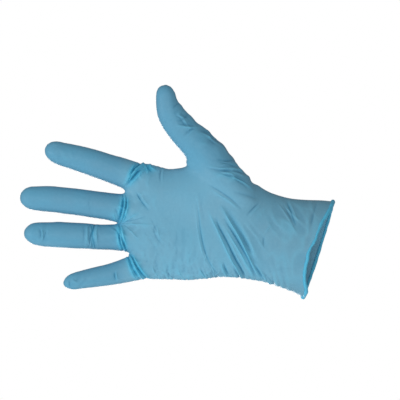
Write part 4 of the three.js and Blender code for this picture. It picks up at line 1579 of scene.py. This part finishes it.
@dataclass
class GloveFilm:
    """The whole film: palm, back, five digits and cuff, with its folds and its inner face.

    Lengths are in millimetres, but most_push counts in least gaps. Each pair of finer_along is the
    width of the widest creases that get finer faces, and the least of their zone that gets them.
    """

    digits: tuple[Digit, ...]
    palm: PalmAndCuff
    web_fill: WebFill
    relief: FilmRelief
    webs: tuple[StretchedPatch, ...]
    outer_voxel: float = 1.5
    inner_voxel: float = 3.0
    thickness: float = 1.0
    least_gap: float = 0.35
    most_push: float = 4.0
    inside_passes: int = 3
    drawn_in: float = 0.9
    even_passes: int = 6
    even_shares: tuple[float, float] = (0.5, -0.52)
    bridge_passes: int = 40
    inner_bridge_passes: int = 10
    draw_share: float = 0.6
    web_fade: tuple[float, float] = (0.15, 0.75)
    cut_slack: float = 0.05
    merge_within: float = 0.15
    finer_along: tuple[tuple[float, float], ...] = ((3.5, 0.25), (1.1, 0.5))

    def form(self, inset: float, voxel: float) -> bpy.types.Mesh:
        """Joins the digits and the palm into one closed skin.

        Args:
            inset: How far inside the outer film it lies, in millimetres.
            voxel: The size of its faces, in millimetres.

        Returns:
            The skin's mesh.
        """
        bm = bmesh.new()
        for part in (*self.digits, self.web_fill, self.palm):
            part.build(bm, inset)
        bmesh.ops.recalc_face_normals(bm, faces=bm.faces)
        rough = bpy.data.meshes.new("glove_form")
        bm.to_mesh(rough)
        bm.free()
        holder = link_object("glove_form", rough)
        remesh = holder.modifiers.new("one_skin", "REMESH")
        remesh.mode = "VOXEL"
        remesh.voxel_size = voxel * MM
        depsgraph = bpy.context.evaluated_depsgraph_get()
        skin = bpy.data.meshes.new_from_object(holder.evaluated_get(depsgraph))
        bpy.data.objects.remove(holder)
        bpy.data.meshes.remove(rough)
        return skin

    def even_out(self, skin: bpy.types.Mesh) -> None:
        """Smooths a skin's steps and flats but keeps its volume and its rim.

        Args:
            skin: The skin's mesh.
        """
        neighbours = Neighbours(skin)
        points = mesh_points(skin)
        free = np.ones(len(points), dtype=bool)
        bm = bmesh.new()
        bm.from_mesh(skin)
        free[[v.index for v in bm.verts if v.is_boundary]] = False
        bm.free()
        for _ in range(self.even_passes):
            for share in self.even_shares:
                points[free] += share * (neighbours.average(points) - points)[free]
        set_mesh_points(skin, points)

    def relax(self, skin: bpy.types.Mesh, passes: int, fresh_every: int = 4) -> None:
        """Evens out the skin and lets the stretched film bridge its creases.

        Args:
            skin: The skin's mesh.
            passes: How often the film is drawn over a crease.
            fresh_every: After how many of them the normals are worked out again.
        """
        self.even_out(skin)
        neighbours = Neighbours(skin)
        points, normals = mesh_points(skin), mesh_normals(skin)
        for step in range(1, passes + 1):
            pull = neighbours.average(points) - points
            outward = (pull * normals).sum(axis=1) > 0
            points[outward] += self.draw_share * pull[outward]
            if step % fresh_every == 0:
                set_mesh_points(skin, points)
                normals = mesh_normals(skin)
        set_mesh_points(skin, points)

    def draw_over(self, skin: bpy.types.Mesh, patch: StretchedPatch, fresh_every: int = 10) -> None:
        """Draws the film over a hollow until it bridges it.

        Args:
            skin: The skin's mesh.
            patch: Where, and how often.
            fresh_every: After how many draws the normals are worked out again.
        """
        neighbours = Neighbours(skin)
        points, normals = mesh_points(skin), mesh_normals(skin)
        away = spread(points[:, [0, 2]] / MM, patch)
        both = patch.face is Face.BOTH
        drawn = 1.0 if both else smooth_step(normals[:, 1] * patch.face.value, *self.web_fade)
        share = (self.draw_share * drawn * np.exp(-(away**2)))[:, None] * np.array(patch.ways)
        for step in range(1, patch.passes + 1):
            pull = neighbours.average(points) - points
            outward = (share * pull * normals).sum(axis=1) > 0
            points += outward[:, None] * share * pull
            if step % fresh_every == 0:
                set_mesh_points(skin, points)
                normals = mesh_normals(skin)
        set_mesh_points(skin, points)

    def cut_at_rim(self, skin: bpy.types.Mesh) -> bmesh.types.BMesh:
        """Opens the skin at the rim and bows its cuff.

        Args:
            skin: The closed skin.

        Returns:
            The open one.
        """
        bm = bmesh.new()
        bm.from_mesh(skin)
        at, out = self.palm.rim_plane()
        bmesh.ops.bisect_plane(
            bm, geom=bm.verts[:] + bm.edges[:] + bm.faces[:], dist=self.cut_slack * MM,
            plane_co=at, plane_no=out, clear_outer=True,
        )
        bmesh.ops.remove_doubles(bm, verts=bm.verts, dist=self.merge_within * MM)
        move_verts(bm.verts, self.palm.bowed(vert_points(bm.verts)))
        return bm

    def refine(self, bm: bmesh.types.BMesh) -> None:
        """Makes the mesh finer along the creases, and finer again along the narrow ones.

        Args:
            bm: The open skin.
        """
        for widest, least in self.finer_along:
            bm.normal_update()
            normals = np.array([v.normal[:] for v in bm.verts])
            zone = self.relief.fine_zone(vert_points(bm.verts), normals, widest)
            bm.verts.index_update()
            edges = [e for e in bm.edges if all(zone[v.index] > least for v in e.verts)]
            bmesh.ops.subdivide_edges(bm, edges=edges, cuts=1, use_grid_fill=True)

    def outer_skin(self) -> bpy.types.Mesh:
        """Builds the outer face of the film, open at the rim.

        Returns:
            Its mesh, with its folds and the numbers that its colours read.
        """
        skin = self.form(self.drawn_in, self.outer_voxel)
        self.relax(skin, self.bridge_passes)
        for web in self.webs:
            self.draw_over(skin, web)
        self.even_out(skin)
        self.even_out(skin)
        bm = self.cut_at_rim(skin)
        self.refine(bm)
        bm.to_mesh(skin)
        bm.free()
        self.even_out(skin)
        plain, normals = mesh_points(skin), mesh_normals(skin)
        out = self.drawn_in * MM + self.relief.height(plain, normals)
        set_mesh_points(skin, plain + out[:, None] * normals)
        self.keep_numbers(skin, plain, normals)
        return skin

    def keep_numbers(self, skin: bpy.types.Mesh, points: np.ndarray, normals: np.ndarray) -> None:
        """Keeps at each point how far the film bunches there, and the painted shade and painted highlight
        that the folds give it.

        Args:
            skin: The folded skin.
            points: Its points before it was folded.
            normals: Its normals before it was folded.
        """
        xz, side = points[:, [0, 2]] / MM, normals[:, 1]
        furrow, painted_highlight = self.relief.folding(xz, side)
        keep_number(skin, "bunch", self.relief.bunching(xz, side))
        # Painted shade for the furrows of the folds and a painted highlight for their crests.
        keep_number(skin, "furrow", furrow)
        keep_number(skin, "painted_highlight", painted_highlight)
        keep_number(skin, "snug", self.relief.snugness(xz))
        keep_number(skin, "loose", self.relief.looseness(xz))

    def inner_skin(self, outer: bpy.types.Mesh) -> bmesh.types.BMesh:
        """Builds the inner face of the film, open at the rim and turned to face the hollow.

        Args:
            outer: The folded outer face, which it stays inside of.

        Returns:
            Its mesh.
        """
        skin = self.form(self.thickness, self.inner_voxel)
        self.relax(skin, self.inner_bridge_passes)
        bm = self.cut_at_rim(skin)
        bpy.data.meshes.remove(skin)
        bmesh.ops.triangulate(bm, faces=bm.faces)
        gap = self.least_gap * MM
        points = [v.co.copy() for v in outer.vertices]
        for _ in range(self.inside_passes):
            bm.normal_update()
            bm.faces.ensure_lookup_table()
            tree = BVHTree.FromBMesh(bm)
            push: dict[bmesh.types.BMVert, float] = {}
            for point in points:
                place, normal, index, _ = tree.find_nearest(point)
                short = gap - (point - place).dot(normal)
                if short > 0:
                    for vert in bm.faces[index].verts:
                        push[vert] = max(push.get(vert, 0.0), short)
            for vert, short in push.items():
                if not vert.is_boundary:
                    vert.co -= vert.normal * min(short, gap * self.most_push)
        bmesh.ops.reverse_faces(bm, faces=bm.faces)
        return bm

    def build(self) -> bpy.types.Object:
        """Builds the film as one closed piece.

        Returns:
            Its object.
        """
        outer = self.outer_skin()
        inner = bpy.data.meshes.new("glove_inside")
        inner_bm = self.inner_skin(outer)
        inner_bm.to_mesh(inner)
        inner_bm.free()
        bm = bmesh.new()
        bm.from_mesh(outer)
        bm.from_mesh(inner)
        bpy.data.meshes.remove(inner)
        rims = [e for e in bm.edges if e.is_boundary]
        bmesh.ops.bridge_loops(bm, edges=rims)
        bmesh.ops.recalc_face_normals(bm, faces=bm.faces)
        bmesh.ops.triangulate(bm, faces=bm.faces)
        return finished_piece(bm, outer, "nitrile_film")

    def dress(self, piece: bpy.types.Object, finish: NitrileFinish) -> None:
        """Gives the film its material and its place on the frame.

        Args:
            piece: The film's object.
            finish: Its finish.
        """
        piece.data.materials.append(finish.material())
        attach(piece, "root")
        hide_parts(NODE)


@dataclass
class RolledRim:
    """The film's own edge, rolled up on itself into a thin uneven bead.

    Each wave is its share of the radius, its count round the rim and its start. The knots, at the
    rim's low end and at its top, are each a height in millimetres and a width as an angle.
    """

    palm: PalmAndCuff
    steps: int = 420
    sides: int = 14
    radius: float = 1.55
    lap: float = 0.6
    flatness: float = 0.9
    ring_radius: float = 0.1
    slow_waves: tuple[tuple[float, int, float], ...] = ((0.10, 3, 0.7), (0.08, 7, 2.1))
    quick_waves: tuple[tuple[float, int, float], ...] = ((0.06, 19, 0.4), (0.05, 31, 1.3))
    low_knot: tuple[float, float] = (0.9, 0.14)
    top_knot: tuple[float, float] = (0.2, 0.16)

    def build(self) -> bpy.types.Object:
        """Builds the bead as a closed ring along the rim.

        Returns:
            Its object.
        """
        bm = bmesh.new()
        ring = bmesh.ops.create_circle(bm, segments=self.sides, radius=self.ring_radius)["verts"]
        bmesh.ops.translate(bm, verts=ring, vec=(1.0, 0.0, 0.0))
        for vert in ring:
            vert.co = (vert.co.x, 0.0, vert.co.y)
        bmesh.ops.spin(
            bm, geom=bm.verts[:] + bm.edges[:], cent=(0, 0, 0), axis=(0, 0, 1), angle=2 * math.pi,
            steps=self.steps, use_merge=True,
        )
        points = vert_points(bm.verts)
        turns = np.arctan2(points[:, 1], points[:, 0])
        centres, out = self.palm.rim_points(turns, self.lap)
        away = (np.hypot(points[:, 0], points[:, 1]) - 1) / self.ring_radius
        ahead = points[:, 2] / self.ring_radius
        radius = self.uneven_radius(turns) * MM
        placed = centres + out * (away * radius)[:, None]
        placed[:, 0] += ahead * radius * self.flatness
        move_verts(bm.verts, placed)
        bmesh.ops.recalc_face_normals(bm, faces=bm.faces)
        return finished_piece(bm, bpy.data.meshes.new("rolled_rim"), "rolled_rim")

    def uneven_radius(self, turns: np.ndarray) -> np.ndarray:
        """Works out the bead's radius at each angle round the rim.

        Args:
            turns: Angles round the rim.

        Returns:
            Radii in millimetres.
        """
        slow, quick = (
            sum(share * np.sin(count * turns + start) for share, count, start in waves)
            for waves in (self.slow_waves, self.quick_waves)
        )
        off_low = np.abs(np.arctan2(np.sin(turns - math.pi), np.cos(turns - math.pi)))
        low, top = (
            height * np.exp(-((off / width) ** 2))
            for off, (height, width) in ((off_low, self.low_knot), (turns, self.top_knot))
        )
        return self.radius * (1 + slow + quick) + (low + top)

    def dress(self, piece: bpy.types.Object, material: bpy.types.Material) -> None:
        """Gives the bead the film's material, with a painted highlight along it, and its place on the frame.

        Args:
            piece: The bead's object.
            material: The film's material.
        """
        piece.data.materials.append(material)
        # The bead counts as fully bunched and gets a painted highlight all along it.
        for name, value in (("bunch", 1.0), ("furrow", 0.0), ("painted_highlight", 0.45), ("snug", 0.0), ("loose", 0.0)):
            keep_number(piece.data, name, np.full(len(piece.data.vertices), value))
        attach(piece, "root")
        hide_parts(NODE)


# The studio


@dataclass(frozen=True)
class SoftLight:
    """A large soft lamp: where it stands, its size, its power and what it is turned to."""

    name: str
    place: tuple[float, float, float]
    size: float
    power: float
    target: tuple[float, float, float] = (-0.1, 0.0, 0.02)

    def build(self) -> None:
        """Adds the lamp to the scene."""
        data = bpy.data.lights.new(self.name, "AREA")
        data.shape, data.size, data.energy = "DISK", self.size, self.power
        lamp = link_object(self.name, data)
        lamp.location = self.place
        lamp.visible_camera = False
        lamp.rotation_euler = (Vector(self.target) - Vector(self.place)).to_track_quat("-Z", "Y").to_euler()


@dataclass
class Studio:
    """The plain pale floor, the pale surround, the soft lamps and the camera."""

    floor_place: tuple[float, float, float] = (-0.1, 0.0, -1.3)
    floor_radius: float = 1.6
    floor_sides: int = 96
    floor_finish: PlainFinish = PlainFinish("pale_floor", (0.86, 0.87, 0.88), 0.7)
    camera_place: tuple[float, float, float] = (-0.0948, -2.6, 0.0397)
    frame_width: float = 0.324
    sensor_width: float = 36.0
    surround_seen: float = 1.0
    surround_light: float = 0.34
    lights: tuple[SoftLight, ...] = (
        SoftLight("key_softbox", (-1.55, -0.95, -0.1), 0.6, 10.2),
        SoftLight("fill_softbox", (-0.1, -1.9, 0.05), 1.1, 13.2),
        SoftLight("low_softbox", (-0.1, -0.25, -1.1), 0.7, 2.6),
        SoftLight("back_softbox", (-0.4, 1.6, -0.3), 1.0, 12.0),
    )

    def build_floor(self) -> None:
        """Adds a pale floor below the glove."""
        bm = bmesh.new()
        bmesh.ops.create_circle(bm, cap_ends=True, segments=self.floor_sides, radius=self.floor_radius)
        bmesh.ops.translate(bm, verts=bm.verts, vec=self.floor_place)
        mesh = bpy.data.meshes.new("studio_floor")
        bm.to_mesh(mesh)
        bm.free()
        floor = link_object("studio_floor", mesh)
        floor.data.materials.append(self.floor_finish.material())

    def build_light(self) -> None:
        """Adds the pale surround, whiter to the camera than the light it gives, and the lamps."""
        world = bpy.data.worlds.new("studio_surround")
        world.use_nodes = True
        nodes, links = world.node_tree.nodes, world.node_tree.links
        light, seen = nodes["Background"], nodes.new("ShaderNodeBackground")
        for node, strength in ((light, self.surround_light), (seen, self.surround_seen)):
            node.inputs["Color"].default_value = (1.0, 1.0, 1.0, 1.0)
            node.inputs["Strength"].default_value = strength
        path, either = nodes.new("ShaderNodeLightPath"), nodes.new("ShaderNodeMixShader")
        links.new(path.outputs["Is Camera Ray"], either.inputs["Fac"])
        links.new(light.outputs["Background"], either.inputs[1])
        links.new(seen.outputs["Background"], either.inputs[2])
        links.new(either.outputs["Shader"], nodes["World Output"].inputs["Surface"])
        bpy.context.scene.world = world
        for lamp in self.lights:
            lamp.build()
        bpy.context.scene.view_settings.view_transform = "Standard"

    def build_camera(self) -> None:
        """Adds the camera, level and square to the palm."""
        data = bpy.data.cameras.new("photo_camera")
        data.sensor_width = self.sensor_width
        data.lens = data.sensor_width * -self.camera_place[1] / self.frame_width
        camera = link_object("photo_camera", data)
        camera.location = self.camera_place
        camera.rotation_euler = (math.pi / 2, 0.0, 0.0)
        bpy.context.scene.camera = camera

    def build(self) -> None:
        """Builds the whole studio."""
        self.build_floor()
        self.build_light()
        self.build_camera()


def triangles(piece: bpy.types.Object) -> int:
    """How many triangles a piece has."""
    return sum(len(polygon.vertices) - 2 for polygon in piece.data.polygons)


def main() -> None:
    """Builds the studio, the film and its rim, and reports each."""
    logging.basicConfig(level=logging.INFO, format="%(message)s")
    Studio().build()
    palm = PalmAndCuff(PALM, CUFF_HANG, PALM_RIM, BACK_RIM_BOW)
    digits = tuple(Digit(sections) for sections in (INDEX, MIDDLE, RING, LITTLE, THUMB))
    relief = FilmRelief(
        palm_creases=HEEL_FOLDS + WRIST_FOLDS + PALM_CREASES + PALM_LINES + DIGIT_CREASES,
        gathers=GATHERS,
        back_creases=BACK_CREASES,
        swells=PALM_SWELLS + BACK_SWELLS + OUTLINE_SWELLS,
        flutes=FLUTES,
        crumples=PALM_CRUMPLES + BACK_CRUMPLES,
    )
    glove = GloveFilm(digits, palm, THUMB_WEB_FILL, relief, THUMB_WEB)
    film = glove.build()
    glove.dress(film, NitrileFinish())
    LOG.info("%s: %d triangles", film.name, triangles(film))
    rim = RolledRim(palm)
    bead = rim.build()
    rim.dress(bead, film.data.materials[0])
    LOG.info("%s: %d triangles", bead.name, triangles(bead))


if __name__ == "__main__":
    main()
